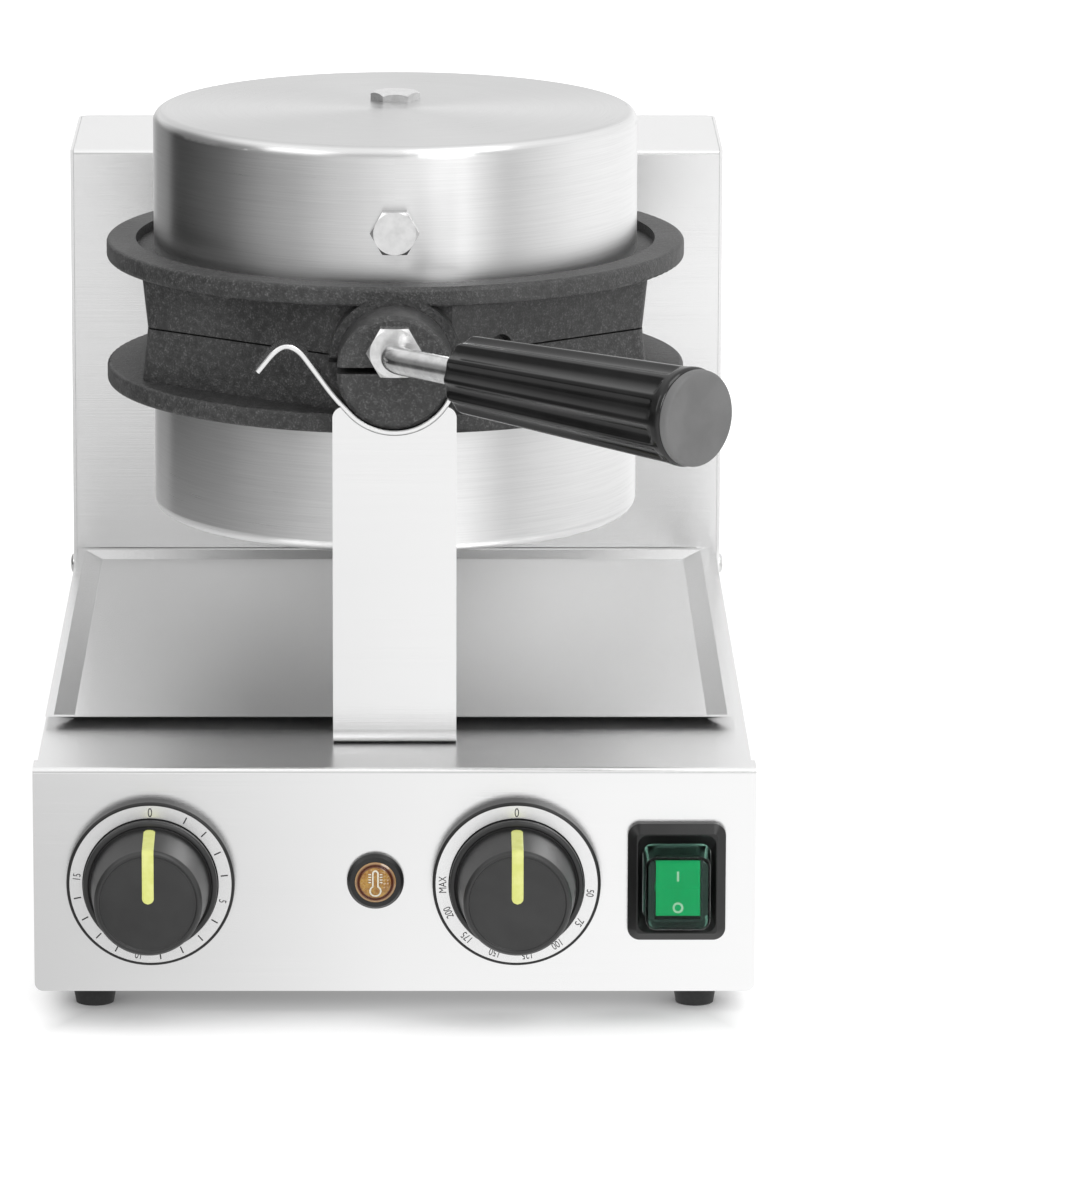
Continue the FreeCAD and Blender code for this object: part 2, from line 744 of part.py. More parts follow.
def liner_strip(thickness):
    """The liner's path with any thickness: round the notch, up in a straight tongue and over in a curl."""
    start = math.radians(-liner_right_angle)
    round_turn = -(180 - liner_right_angle - liner_left_angle)
    moves = [(saddle_radius, round_turn), (liner_tongue, None),
             (liner_curl_radius + liner_thickness, liner_curl_turn), (liner_tip, None)]
    strip = bent_strip((saddle_radius * math.cos(start), saddle_radius * math.sin(start)),
                       -90 - liner_right_angle, moves, thickness)
    strip = strip.extrude(Vector(0, liner_depth, 0))
    return moved(strip, 0, panel_y + stand_front, axis_z)


def stand_screws():
    piece = screw(stand_screw_head_radius, stand_screw_head_height, stand_screw_radius, stand_screw_grip)
    return Part.makeCompound([moved(piece, x, y, deck_z + stand_sheet) for x, y in stand_screw_places()])


# Head

def block_outline(inset, z):
    """Six-sided plan with blunt noses at front and rear."""
    half = block_half_width - inset
    nose = block_nose_y - inset
    blunt = block_nose_half
    right = [(blunt, -nose), (half, -block_corner_y), (half, block_corner_y), (blunt, nose)]
    left = [(-x, -y) for x, y in right]
    spots = [Vector(x, y, z) for x, y in right + left]
    return Part.makePolygon(spots + spots[:1])


def waffle_grooves():
    """Crossed tapered bars that cut the waffle grid, trimmed to the cooking face."""
    top = parting_gap / 2 + cooking_depth
    half = groove_width / 2
    floor = groove_floor / 2
    count = int((cooking_radius - groove_width * 2) / groove_pitch)
    outline = [(-half, top), (half, top), (floor, top + groove_depth), (-floor, top + groove_depth)]
    bars = []
    for i in range(-count, count + 1):
        reach = math.sqrt(cooking_radius ** 2 - (i * groove_pitch) ** 2) - groove_width
        points = [Vector(x + i * groove_pitch, -reach, z) for x, z in outline]
        bar = Part.Face(Part.makePolygon(points + points[:1])).extrude(Vector(0, reach * 2, 0))
        for turn in (45, -45):
            copy = bar.copy()
            copy.rotate(Vector(0, 0, 0), Vector(0, 0, 1), turn)
            bars.append(copy)
    return bars


def plate_half():
    """Casting common to both halves, built above the parting plane."""
    low = parting_gap / 2
    block = Part.makeLoft([block_outline(block_draft, low), block_outline(0, block_height)], True, True)
    uprights = edges_where(block, lambda c, e: low < c.z < block_height and abs(c.x) > block_nose_half * 2)
    block = block.makeFillet(block_edge_radius, uprights)
    flange = rod(flange_radius, (0, 0, block_height), (0, 0, 1), flange_thickness)
    flange = flange.makeFillet(flange_edge_radius, [e for e in flange.Edges if e.Length > flange_radius * 2])
    boss = rod(boss_radius, (0, -boss_reach, 0), (0, 1, 0), boss_reach - block_corner_y)
    rim = edges_where(boss, lambda c, e: near(c.y, -boss_reach) and e.Length > boss_radius)
    boss = boss.makeChamfer(boss_edge, rim)
    collar = rod(collar_radius, (0, -collar_y, 0), (0, 1, 0), collar_length)
    round_parts = boss.fuse(collar)
    wide = flange_radius * 2
    round_parts = round_parts.cut(box(-wide, wide, -wide, wide, -wide, low))
    casting = block.fuse([flange, round_parts])
    casting = casting.cut(rod(well_radius, (0, 0, seat_z), (0, 0, 1), can_height))
    casting = casting.cut(rod(pocket_radius, (0, 0, pocket_z), (0, 0, 1), can_height))
    inner_wall = can_radius - can_sheet - lug_gap
    lug_top = side_bolt_rise + side_bolt_radius * 2
    lug_half = lug_width / 2
    lug = box(-lug_half, lug_half, -inner_wall - overcut, -inner_wall + lug_depth, pocket_z, lug_top)
    lug = lug.common(rod(inner_wall, (0, 0, 0), (0, 0, 1), can_top))
    post = rod(post_radius, (0, post_y, pocket_z), (0, 0, 1), can_top - can_sheet - pocket_z)
    casting = casting.fuse([lug, post])
    casting = casting.cut(rod(cooking_radius, (0, 0, 0), (0, 0, 1), low + cooking_depth))
    cutters = waffle_grooves()
    cutters.append(rod(side_bolt_radius, (0, -can_radius, side_bolt_rise), (0, 1, 0),
                       side_bolt_grip + part_gap))
    cutters.append(rod(top_bolt_radius, (0, post_y, can_top - top_bolt_grip - part_gap), (0, 0, 1),
                       top_bolt_grip * 2))
    return casting.cut(cutters)


def upper_plate():
    """Upper casting: two hinge ears behind and a threaded hole for the handle in the boss."""
    casting = plate_half()
    ears = []
    for side in (-1, 1):
        inner = side * (neck_half + ear_gap)
        x0, x1 = sorted((inner, inner + side * ear_width))
        ears.append(box(x0, x1, ear_root_y, hinge_y, parting_gap / 2, ear_height))
        ears.append(rod(hinge_barrel_radius, (x0, hinge_y, 0), (1, 0, 0), ear_width))
    casting = casting.fuse(ears)
    wide = flange_radius
    slope = (block_nose_y - block_corner_y) / (block_half_width - block_nose_half)
    recess_y = (recess_x - block_nose_half) * slope - block_nose_y + block_draft
    inwards = Vector(-slope, 1, 0).normalize()
    recess_start = Vector(recess_x, recess_y, 0) - inwards * block_draft
    casting = casting.cut([
        rod(hinge_pin_radius + running_gap, (-wide, hinge_y, 0), (1, 0, 0), wide * 2),
        rod(handle_rod_radius, (0, -boss_reach - overcut, handle_rise), (0, 1, 0), handle_thread + overcut),
        rod(recess_radius, recess_start, inwards, recess_depth + block_draft),
        box(-collar_radius, collar_radius, -boss_reach - overcut, -block_nose_y, 0, boss_split),
    ])
    return in_head(casting.removeSplitter())


def lower_plate():
    """Lower casting: a neck with the hinge barrel and the round hub that carries the trunnion shaft."""
    casting = plate_half().mirror(Vector(0, 0, 0), Vector(0, 0, 1))
    neck = box(-neck_half, neck_half, ear_root_y, hinge_y, -block_height, -parting_gap / 2)
    barrel = rod(hinge_barrel_radius, (-neck_half, hinge_y, 0), (1, 0, 0), neck_half * 2)
    hub = rod(hub_radius, (0, hinge_y, 0), (0, 1, 0), hub_end - hinge_y)
    hub_front = box(-hub_radius, hub_radius, hinge_y, hinge_y + hinge_barrel_radius, 0, hub_radius)
    hub = hub.cut(hub_front.cut(barrel))
    casting = casting.fuse([neck, barrel, hub])
    wide = flange_radius
    casting = casting.cut([
        rod(hinge_pin_radius + hinge_seat_gap, (-wide, hinge_y, 0), (1, 0, 0), wide * 2),
        rod(shaft_radius, (0, hub_end - shaft_engagement, 0), (0, 1, 0), wide),
    ])
    return in_head(casting.removeSplitter())


def can():
    """Drawn steel can over a heater, built upwards."""
    outer = rod(can_radius, (0, 0, seat_z), (0, 0, 1), can_height)
    rim = edges_where(outer, lambda c, e: near(c.z, can_top) and e.Length > can_radius)
    outer = outer.makeFillet(can_edge_radius, rim)
    inner = rod(can_radius - can_sheet, (0, 0, seat_z - overcut), (0, 0, 1), can_height - can_sheet + overcut)
    rim = edges_where(inner, lambda c, e: near(c.z, can_top - can_sheet) and e.Length > can_radius)
    inner = inner.makeFillet(can_edge_radius - can_sheet, rim)
    holes = [
        rod(side_bolt_radius + part_gap, (0, -can_radius - overcut, side_bolt_rise), (0, 1, 0), lug_depth),
        rod(top_bolt_radius + part_gap, (0, post_y, can_top - can_sheet * 2), (0, 0, 1), can_sheet * 4),
    ]
    return outer.cut([inner] + holes)


def side_bolt():
    """Hex bolt through the can's front wall into the cast lug."""
    head = hexagon_bar(side_bolt_flats, (0, -can_radius, side_bolt_rise), (0, -1, 0), side_bolt_head)
    shank = rod(side_bolt_radius, (0, -can_radius, side_bolt_rise), (0, 1, 0), side_bolt_grip)
    return head.fuse(shank).removeSplitter()


def top_bolt():
    """Low hex bolt through the can's end into the cast post."""
    head = hexagon_bar(top_bolt_flats, (0, post_y, can_top), (0, 0, 1), top_bolt_head)
    shank = rod(top_bolt_radius, (0, post_y, can_top - top_bolt_grip), (0, 0, 1), top_bolt_grip)
    return head.fuse(shank).removeSplitter()


def heater():
    """Tubular heater: most of a ring on the back of the cooking plate, with two raised ends at the rear."""
    z = pocket_z + heater_tube_radius + heater_seat_gap
    ring = Part.makeTorus(heater_ring_radius, heater_tube_radius, Vector(0, 0, z), Vector(0, 0, 1),
                          -180, 180, 360 - heater_open_angle)
    ring.rotate(Vector(0, 0, 0), Vector(0, 0, 1), 90 + heater_open_angle / 2)
    pieces = []
    for side in (-1, 1):
        angle = math.radians(90 + side * heater_open_angle / 2)
        spot = Vector(heater_ring_radius * math.cos(angle), heater_ring_radius * math.sin(angle), z)
        pieces.append(Part.makeSphere(heater_tube_radius, spot))
        pieces.append(Part.makeCylinder(heater_tube_radius, heater_end_height, spot))
    return ring.fuse(pieces).removeSplitter()


def lower(shape):
    """The lower half's copy of a piece built for the upper half."""
    return in_head(shape.mirror(Vector(0, 0, 0), Vector(0, 0, 1)))


def hinge_pin():
    """Headed pin through ears and neck."""
    outside = neck_half + ear_gap + ear_width + ear_gap
    pin = rod(hinge_pin_radius, (-outside, hinge_y, 0), (1, 0, 0), outside * 2 + pin_clip_length)
    head = rod(pin_head_radius, (-outside - pin_head_length, hinge_y, 0), (1, 0, 0), pin_head_length)
    return in_head(pin.fuse(head).removeSplitter())


def hinge_clip():
    """Retaining ring on the plain end of the hinge pin."""
    outside = neck_half + ear_gap + ear_width + ear_gap
    ring = rod(pin_head_radius, (outside, hinge_y, 0), (1, 0, 0), pin_clip_length)
    hole = rod(hinge_pin_radius, (outside - overcut, hinge_y, 0), (1, 0, 0), pin_clip_length + overcut * 2)
    return in_head(ring.cut(hole))


def trunnion_shaft():
    """Hollow steel shaft from the hub into the rear housing."""
    start = hub_end - shaft_engagement
    end = shaft_nut_y + shaft_nut_length + shaft_tail
    shaft = rod(shaft_radius, (0, start, 0), (0, 1, 0), end - start)
    return in_head(shaft.cut(rod(shaft_bore_radius, (0, start - overcut, 0), (0, 1, 0),
                             end - start + overcut * 2)))


def shaft_nut():
    """Round nut that keeps the shaft in its bearing, with four spanner slots."""
    nut = rod(shaft_nut_radius, (0, shaft_nut_y, 0), (0, 1, 0), shaft_nut_length)
    nut = nut.cut(rod(shaft_radius, (0, shaft_nut_y - overcut, 0), (0, 1, 0),
                      shaft_nut_length + overcut * 2))
    wall = shaft_nut_radius - shaft_radius
    notches = []
    for i in range(4):
        notch = box(shaft_nut_radius - wall / 2, shaft_nut_radius + overcut, shaft_nut_y - overcut,
                    shaft_nut_y + shaft_nut_length + overcut, -wall / 3, wall / 3)
        notch.rotate(Vector(0, 0, 0), Vector(0, 1, 0), 90 * i + 45)
        notches.append(notch)
    return in_head(nut.cut(notches))


def trunnion_bush():
    """Flanged bearing bush through the housing's front sheet and the bearing plate."""
    face = housing_from_head
    bush = rod(bush_radius, (0, face - bush_flange, 0), (0, 1, 0), bush_length + bush_flange)
    bush = bush.fuse(rod(bush_flange_radius, (0, face - bush_flange, 0), (0, 1, 0), bush_flange))
    bush = bush.cut(rod(shaft_radius + running_gap, (0, face - bush_flange - overcut, 0), (0, 1, 0),
                        bush_length + bush_flange + overcut * 2))
    return in_head(bush.removeSplitter())


def bearing_plate():
    """Thick plate behind the housing's front sheet that carries the bush."""
    front = housing_from_head + sheet
    half = bearing_plate_half
    rear = front + bearing_plate_thickness
    plate = box(-half, half, front, rear, -bearing_plate_below, bearing_plate_above)
    hole = rod(bush_radius, (0, front - overcut, 0), (0, 1, 0), bearing_plate_thickness + overcut * 2)
    return in_head(plate.cut(hole))


# Handle

def handle_frame():
    """Placement of the grip's axis: Z along the grip, starting at the corner of the bend."""
    corner = Vector(0, head_y - boss_reach - handle_straight, axis_z + handle_rise)
    return FreeCAD.Placement(corner, FreeCAD.Rotation(Vector(0, 0, 1), Vector(bend_sine, -bend_cosine, 0)))


def handle_rod():
    """Round rod screwed into the boss, bent once towards the grip."""
    boss_y = head_y - boss_reach
    z = axis_z + handle_rise
    trim = handle_bend_radius * math.tan(math.radians(handle_bend / 2))
    start = Vector(0, boss_y + handle_thread, z)
    corner = Vector(0, boss_y - handle_straight, z)
    along = Vector(bend_sine, -bend_cosine, 0)
    bend_start = corner + Vector(0, trim, 0)
    bend_end = corner + along * trim
    end = corner + along * (handle_reach - grip_length + grip_socket)
    centre = bend_start + Vector(handle_bend_radius, 0, 0)
    half_turn = math.radians(handle_bend / 2)
    middle = centre + Vector(-math.cos(half_turn), -math.sin(half_turn), 0) * handle_bend_radius
    path = Part.Wire([Part.LineSegment(start, bend_start).toShape(),
                      Part.Arc(bend_start, middle, bend_end).toShape(),
                      Part.LineSegment(bend_end, end).toShape()])
    section = Part.Wire(Part.makeCircle(handle_rod_radius, start, Vector(0, -1, 0)))
    return path.makePipeShell([section], True, False)


def handle_nut():
    face = head_y - boss_reach
    z = axis_z + handle_rise
    nut = hexagon_bar(handle_nut_flats, (0, face, z), (0, -1, 0), handle_nut_length)
    hole = rod(handle_rod_radius, (0, face + overcut, z), (0, -1, 0), handle_nut_length + overcut * 2)
    return nut.cut(hole)


def handle_grip():
    """Tapered fluted grip, bored for the rod and open at its end for the cap."""
    start = handle_reach - grip_length
    end = handle_reach - cap_thickness
    body = turned([(0, start), (grip_inner_radius, start), (grip_outer_radius, end), (0, end)])
    rim = edges_where(body, lambda c, e: near(c.z, start) and e.Length > grip_inner_radius)
    body = body.makeFillet(grip_inner_round, rim)
    taper = math.atan2(grip_outer_radius - grip_inner_radius, end - start)
    flutes = []
    for i in range(grip_flute_count):
        radius = grip_inner_radius + grip_flute_radius - grip_flute_depth
        first = Vector(radius, 0, start + grip_flute_inset)
        run = Vector(math.sin(taper), 0, math.cos(taper)) * (end - start - grip_flute_inset - grip_collar)
        flute = rod(grip_flute_radius, first, run, run.Length)
        flute = flute.fuse([Part.makeSphere(grip_flute_radius, spot) for spot in (first, first + run)])
        flute.rotate(Vector(0, 0, 0), Vector(0, 0, 1), 360 / grip_flute_count * i)
        flutes.append(flute)
    body = body.cut(flutes)
    body = body.cut(rod(handle_rod_radius + grip_rod_gap, (0, 0, start - overcut), (0, 0, 1),
                        grip_socket + overcut))
    body.Placement = handle_frame()
    return body


def handle_cap():
    """Flat end cap with a rounded edge."""
    start = handle_reach - cap_thickness
    cap = rod(grip_outer_radius, (0, 0, start), (0, 0, 1), cap_thickness)
    rim = edges_where(cap, lambda c, e: near(c.z, handle_reach) and e.Length > grip_outer_radius)
    cap = cap.makeFillet(cap_edge_radius, rim)
    cap.Placement = handle_frame()
    return cap


# Controls, built with +Z out of the panel

def dial_bezel(x):
    """Round black bezel with a sunk seat for the dial ring."""
    bezel = rod(bezel_radius, (0, 0, 0), (0, 0, 1), bezel_depth)
    rim = edges_where(bezel, lambda c, e: near(c.z, bezel_depth) and e.Length > bezel_radius)
    bezel = bezel.makeFillet(bezel_edge_radius / 2, rim)
    seat = bezel_depth - dial_thickness + dial_proud
    groove = rod(dial_outer_radius + part_gap, (0, 0, seat), (0, 0, 1), bezel_depth)
    groove = groove.cut(rod(dial_inner_radius - part_gap, (0, 0, seat), (0, 0, 1), bezel_depth))
    hole = rod(collar_bush_radius + collar_bush_gap, (0, 0, -overcut), (0, 0, 1), bezel_depth + overcut * 2)
    return on_panel(bezel.cut([groove, hole]), x)


def dial_ring(x):
    """Thin bright ring that carries the scale."""
    seat = bezel_depth - dial_thickness + dial_proud
    ring = rod(dial_outer_radius, (0, 0, seat), (0, 0, 1), dial_thickness)
    hole = rod(dial_inner_radius, (0, 0, seat - overcut), (0, 0, 1), dial_thickness + overcut * 2)
    return on_panel(ring.cut(hole), x)


def control_body(x, size, depth):
    """Works behind the panel with a threaded bush that guides the spindle."""
    body = box(-size / 2, size / 2, -size / 2, size / 2, -sheet - depth, -sheet)
    body = body.fuse(rod(collar_bush_radius, (0, 0, -sheet), (0, 0, 1), sheet + bezel_depth))
    bore = rod(spindle_radius + running_gap, (0, 0, -sheet - spindle_in_body), (0, 0, 1),
               spindle_in_body * 2 + bezel_depth)
    return on_panel(body.cut(bore), x)


def spindle(x):
    top = bezel_depth + knob_gap + spindle_in_knob
    low = -sheet - spindle_in_body + part_gap
    return on_panel(rod(spindle_radius, (0, 0, low), (0, 0, 1), top - low), x)


def knob_solid(growth):
    """The knob's turned outline, grown or shrunk all round by one amount."""
    low = bezel_depth + knob_gap
    top = low + knob_depth
    return turned([
        (0, low), (knob_skirt_radius + growth, low),
        (knob_skirt_radius + growth, low + knob_skirt_depth - knob_lip),
        (knob_skirt_radius - knob_lip + growth, low + knob_skirt_depth),
        (knob_root_radius + growth, low + knob_skirt_depth),
        (knob_cap_radius + growth, top - knob_edge_depth + growth),
        (knob_face_radius + growth, top + growth), (0, top + growth),
    ])


def pointer_solid():
    """Stripe let into the knob from its upper side, over the edge, to the middle of its face."""
    half = pointer_width / 2
    low = bezel_depth + knob_gap + knob_skirt_depth + pointer_start + half
    keep = box(-half, half, half, knob_skirt_radius * 2, low, knob_depth * 2)
    keep = keep.fuse([rod(half, (0, half, low), (0, 0, 1), knob_depth * 2 - low),
                      rod(half, (0, half, low), (0, 1, 0), knob_skirt_radius * 2 - half)])
    return knob_solid(pointer_proud).cut(knob_solid(-pointer_sunk)).common(keep)


def knob(x):
    low = bezel_depth + knob_gap
    floor = low + knob_depth - knob_groove_depth
    groove = rod(knob_groove_radius, (0, 0, floor), (0, 0, 1), knob_depth)
    groove = groove.cut(rod(knob_groove_radius - knob_groove_width, (0, 0, floor), (0, 0, 1), knob_depth))
    body = knob_solid(0).cut([pointer_solid(), groove])
    body = body.cut(rod(spindle_radius, (0, 0, low - overcut), (0, 0, 1), spindle_in_knob + overcut))
    return on_panel(body, x)


def pointer(x):
    return on_panel(pointer_solid(), x)


def lamp_bezel():
    """Black ring with a neck through the panel and a seat for the lens."""
    seat = lamp_bezel_depth - lamp_lens_seat
    neck = lamp_neck_radius - lamp_neck_wall
    slant = lamp_bezel_radius - lamp_bezel_depth / 3
    ring = turned([
        (neck, -sheet), (lamp_neck_radius, -sheet), (lamp_neck_radius, 0), (lamp_bezel_radius, 0),
        (lamp_bezel_radius, lamp_bezel_depth / 2), (slant, lamp_bezel_depth),
        (lamp_lens_radius + part_gap, lamp_bezel_depth), (lamp_lens_radius + part_gap, seat), (neck, seat),
    ])
    return on_panel(ring, lamp_x)


def lamp_lens():
    """Low dome: a slice of a ball on a short cylinder."""
    seat = lamp_bezel_depth - lamp_lens_seat
    ball = (lamp_lens_radius ** 2 + lamp_lens_dome ** 2) / (2 * lamp_lens_dome)
    dome = Part.makeSphere(ball, Vector(0, 0, lamp_bezel_depth + lamp_lens_dome - ball))
    keep = rod(lamp_lens_radius, (0, 0, seat), (0, 0, 1), ball)
    return on_panel(dome.common(keep), lamp_x)


def lamp_body():
    """Lamp holder clipped behind the panel."""
    body = rod(lamp_body_radius, (0, 0, -sheet - lamp_body_depth), (0, 0, 1), lamp_body_depth)
    tip = lamp_neck_radius - lamp_neck_wall - part_gap
    bulb = rod(tip, (0, 0, -sheet), (0, 0, 1), sheet + lamp_bezel_depth - lamp_lens_seat)
    return on_panel(body.fuse(bulb).removeSplitter(), lamp_x)


def switch_frame():
    """Bevelled frame that clamps the clear boot to the panel."""
    frame = rounded_plate(switch_frame_width, switch_frame_height, switch_frame_corner, 0, switch_frame_depth)
    rim = edges_where(frame, lambda c, e: near(c.z, switch_frame_depth))
    frame = frame.makeChamfer(switch_frame_bevel, rim)
    hole = rounded_plate(boot_width + part_gap * 2, boot_height + part_gap * 2, boot_corner, -overcut,
                         boot_depth * 2)
    ridge = (switch_frame_bevel + switch_frame_land) * 2
    funnel = Part.makeLoft([
        rounded_outline(boot_width + part_gap * 2, boot_height + part_gap * 2, boot_corner,
                        switch_frame_depth - switch_funnel),
        rounded_outline(switch_frame_width - ridge, switch_frame_height - ridge, boot_corner,
                        switch_frame_depth),
    ], True, True)
    return on_panel(frame.cut([hole, funnel]), switch_x)


def hood(inset, z0, z1):
    """The boot's outline, inset all round, drawn in a little towards the front."""
    width = boot_width - inset * 2
    height = boot_height - inset * 2
    corner = boot_corner - inset
    draw = boot_taper * 2
    return Part.makeLoft([rounded_outline(width, height, corner, z0),
                          rounded_outline(width - draw, height - draw, corner, z1)], True, True)


def switch_boot():
    """Clear moulded hood over the rocker, open at the back."""
    outer = hood(0, 0, boot_depth)
    rim = edges_where(outer, lambda c, e: near(c.z, boot_depth))
    outer = outer.makeFillet(boot_edge_radius, rim)
    return on_panel(outer.cut(hood(boot_wall, -overcut, boot_depth - boot_wall)), switch_x)


def rocker_room():
    """Space in the switch that the rocker swings in."""
    half_width = rocker_width / 2 + rocker_side_gap
    half_height = rocker_height / 2 + rocker_end_gap
    low = rocker_pivot - rocker_back - rocker_end_gap
    return box(-half_width, half_width, -half_height, half_height, low, boot_depth)


def switch_body():
    """Switch works behind the panel with a collar round the rocker."""
    half_width = switch_collar_width / 2
    collar = rounded_plate(switch_collar_width, switch_collar_height, boot_corner, -sheet - switch_body_depth,
                           switch_collar_depth)
    pins = rod(rocker_pin_radius + running_gap, (-half_width, 0, rocker_pivot), (1, 0, 0), switch_collar_width)
    return on_panel(collar.cut([rocker_room(), pins]), switch_x)


def switch_rocker():
    """Rocker with a dished face on two side pins, tipped to its off side."""
    half = rocker_height / 2
    heel = -rocker_back * 0.4
    outline = [(-half, heel), (0, -rocker_back), (half, heel),
               (half, rocker_depth), (0, rocker_depth - rocker_dip), (-half, rocker_depth)]
    points = [Vector(-rocker_width / 2, y, z) for y, z in outline]
    body = Part.Face(Part.makePolygon(points + points[:1])).extrude(Vector(rocker_width, 0, 0))
    reach = rocker_width / 2 + rocker_pin_length
    body = body.fuse(rod(rocker_pin_radius, (-reach, 0, 0), (1, 0, 0), reach * 2))
    body.rotate(Vector(0, 0, 0), Vector(1, 0, 0), -rocker_tilt)
    return on_panel(moved(body.removeSplitter(), 0, 0, rocker_pivot), switch_x)


pieces = {
    "base_shell": base_shell(),
    "bottom_plate": bottom_plate(),
    "rubber_feet": rubber_feet(),
    "foot_screws": foot_screws(),
    "rear_housing": rear_housing(),
    "rear_cover": rear_cover(),
    "cover_screws": cover_screws(),
    "cable_gland": cable_gland(),
    "gland_nut": gland_nut(),
    "terminal_block": terminal_block(),
    "crumb_tray": crumb_tray(),
    "front_stand": front_stand(),
    "saddle_liner": liner_strip(liner_thickness),
    "stand_screws": stand_screws(),
    "upper_plate": upper_plate(),
    "lower_plate": lower_plate(),
    "upper_can": in_head(can()),
    "lower_can": lower(can()),
    "upper_side_bolt": in_head(side_bolt()),
    "lower_side_bolt": lower(side_bolt()),
    "upper_can_bolt": in_head(top_bolt()),
    "lower_can_bolt": lower(top_bolt()),
    "upper_heater": in_head(heater()),
    "lower_heater": lower(heater()),
    "hinge_pin": hinge_pin(),
    "hinge_clip": hinge_clip(),
    "trunnion_shaft": trunnion_shaft(),
    "shaft_nut": shaft_nut(),
    "trunnion_bush": trunnion_bush(),
    "bearing_plate": bearing_plate(),
    "handle_rod": handle_rod(),
    "handle_nut": handle_nut(),
    "handle_grip": handle_grip(),
    "handle_cap": handle_cap(),
    "lamp_bezel": lamp_bezel(),
    "lamp_lens": lamp_lens(),
    "lamp_body": lamp_body(),
    "switch_frame": switch_frame(),
    "switch_boot": switch_boot(),
    "switch_body": switch_body(),
    "switch_rocker": switch_rocker(),
}
controls = {
    "timer": (timer_x, timer_body_size, timer_body_depth),
    "thermostat": (thermostat_x, thermostat_body_size, thermostat_body_depth),
}
for name, (x, size, depth) in controls.items():
    pieces[name + "_bezel"] = dial_bezel(x)
    pieces[name + "_dial"] = dial_ring(x)
    pieces[name + "_body"] = control_body(x, size, depth)
    pieces[name + "_spindle"] = spindle(x)
    pieces[name + "_knob"] = knob(x)
    pieces[name + "_pointer"] = pointer(x)

os.makedirs("parts", exist_ok=True)
for node, shape in pieces.items():
    shape.exportStep("parts/" + node + ".step")
    print(node, len(shape.Solids), shape.isValid(), round(shape.Volume))
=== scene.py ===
import bmesh
import bpy
import math
import numpy as np
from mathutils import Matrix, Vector


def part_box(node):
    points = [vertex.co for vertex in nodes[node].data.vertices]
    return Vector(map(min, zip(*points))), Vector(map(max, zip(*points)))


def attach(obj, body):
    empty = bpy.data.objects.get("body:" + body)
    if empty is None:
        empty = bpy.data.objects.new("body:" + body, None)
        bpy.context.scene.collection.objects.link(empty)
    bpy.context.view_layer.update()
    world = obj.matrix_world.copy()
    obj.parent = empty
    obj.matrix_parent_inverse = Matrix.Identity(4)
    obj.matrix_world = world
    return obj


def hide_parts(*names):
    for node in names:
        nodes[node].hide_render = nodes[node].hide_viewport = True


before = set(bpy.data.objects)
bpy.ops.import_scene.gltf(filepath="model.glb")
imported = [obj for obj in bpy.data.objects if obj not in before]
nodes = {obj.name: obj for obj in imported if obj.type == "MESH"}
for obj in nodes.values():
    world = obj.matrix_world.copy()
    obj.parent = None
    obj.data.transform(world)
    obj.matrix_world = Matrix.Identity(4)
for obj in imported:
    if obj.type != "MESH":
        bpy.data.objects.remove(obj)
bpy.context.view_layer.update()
mm = 0.001
print("frame loaded:", len(nodes), "nodes")


# One socket of a node tree. Operators on it add Math nodes, so a mask can be written as 1 - mask.
class Shade:
    def __init__(self, tree, socket=None):
        self.tree = tree
        self.socket = socket

    # any node: its type, its settings, which are set first, and its sockets' values or links
    def node(self, kind, settings=None, inputs=None, out=0):
        made = self.tree.nodes.new("ShaderNode" + kind)
        for key, value in (settings or {}).items():
            if key == "stops":
                elements = made.color_ramp.elements
                elements[0].position, elements[0].color = value[0]
                elements[1].position, elements[1].color = value[-1]
                for spot, colour in value[1:-1]:
                    elements.new(spot).color = colour
            else:
                setattr(made, key, value)
        for key, value in (inputs or {}).items():
            if isinstance(value, Shade):
                self.tree.links.new(value.socket, made.inputs[key])
            else:
                made.inputs[key].default_value = value
        return Shade(self.tree, made.outputs[out])

    def maths(self, operation, *values):
        return self.node("Math", {"operation": operation}, dict(enumerate(values)))

    def __add__(self, other):
        return self.maths("ADD", self, other)

    def __sub__(self, other):
        return self.maths("SUBTRACT", self, other)

    def __rsub__(self, other):
        return self.maths("SUBTRACT", other, self)

    def __mul__(self, other):
        return self.maths("MULTIPLY", self, other)

    def __truediv__(self, other):
        return self.maths("DIVIDE", self, other)

    __radd__ = __add__
    __rmul__ = __mul__

    # the value without its sign
    def size(self):
        return self.maths("ABSOLUTE", self)

    # square root of the sum of two squares
    def hypot(self, other):
        squares = self * self + other * other
        return squares.maths("SQRT", squares)

    # no more than 1
    def capped(self):
        return self.maths("MINIMUM", self, 1.0)

    # 0 below low, 1 above high, smooth between
    def ease(self, low, high):
        inputs = {"Value": self, "From Min": low, "From Max": high}
        return self.node("MapRange", {"interpolation_type": "SMOOTHSTEP"}, inputs)

    # first colour at 0, second at 1; sockets 6 and 7 are the Mix node's colours
    def blend(self, first, second):
        inputs = {0: self, 6: first, 7: second}
        return self.node("Mix", {"data_type": "RGBA"}, inputs, 2)

    def axis(self, name):
        return self.node("SeparateXYZ", {}, {"Vector": self}, name)


def grey(tone):
    return (tone, tone, tone, 1.0)


# noise on the place given; a small scale along one axis draws it out that way
def noise(place, scale, detail=2.0, coarse=0.5):
    scale = scale if isinstance(scale, tuple) else (scale,) * 3
    spread = place.node("Mapping", {}, {"Vector": place, "Scale": scale})
    inputs = {"Vector": spread, "Scale": 1.0, "Detail": detail, "Roughness": coarse}
    return place.node("TexNoise", {}, inputs)


def bump(height, strength, distance):
    inputs = {"Height": height, "Strength": strength, "Distance": distance}
    return height.node("Bump", {}, inputs, "Normal")


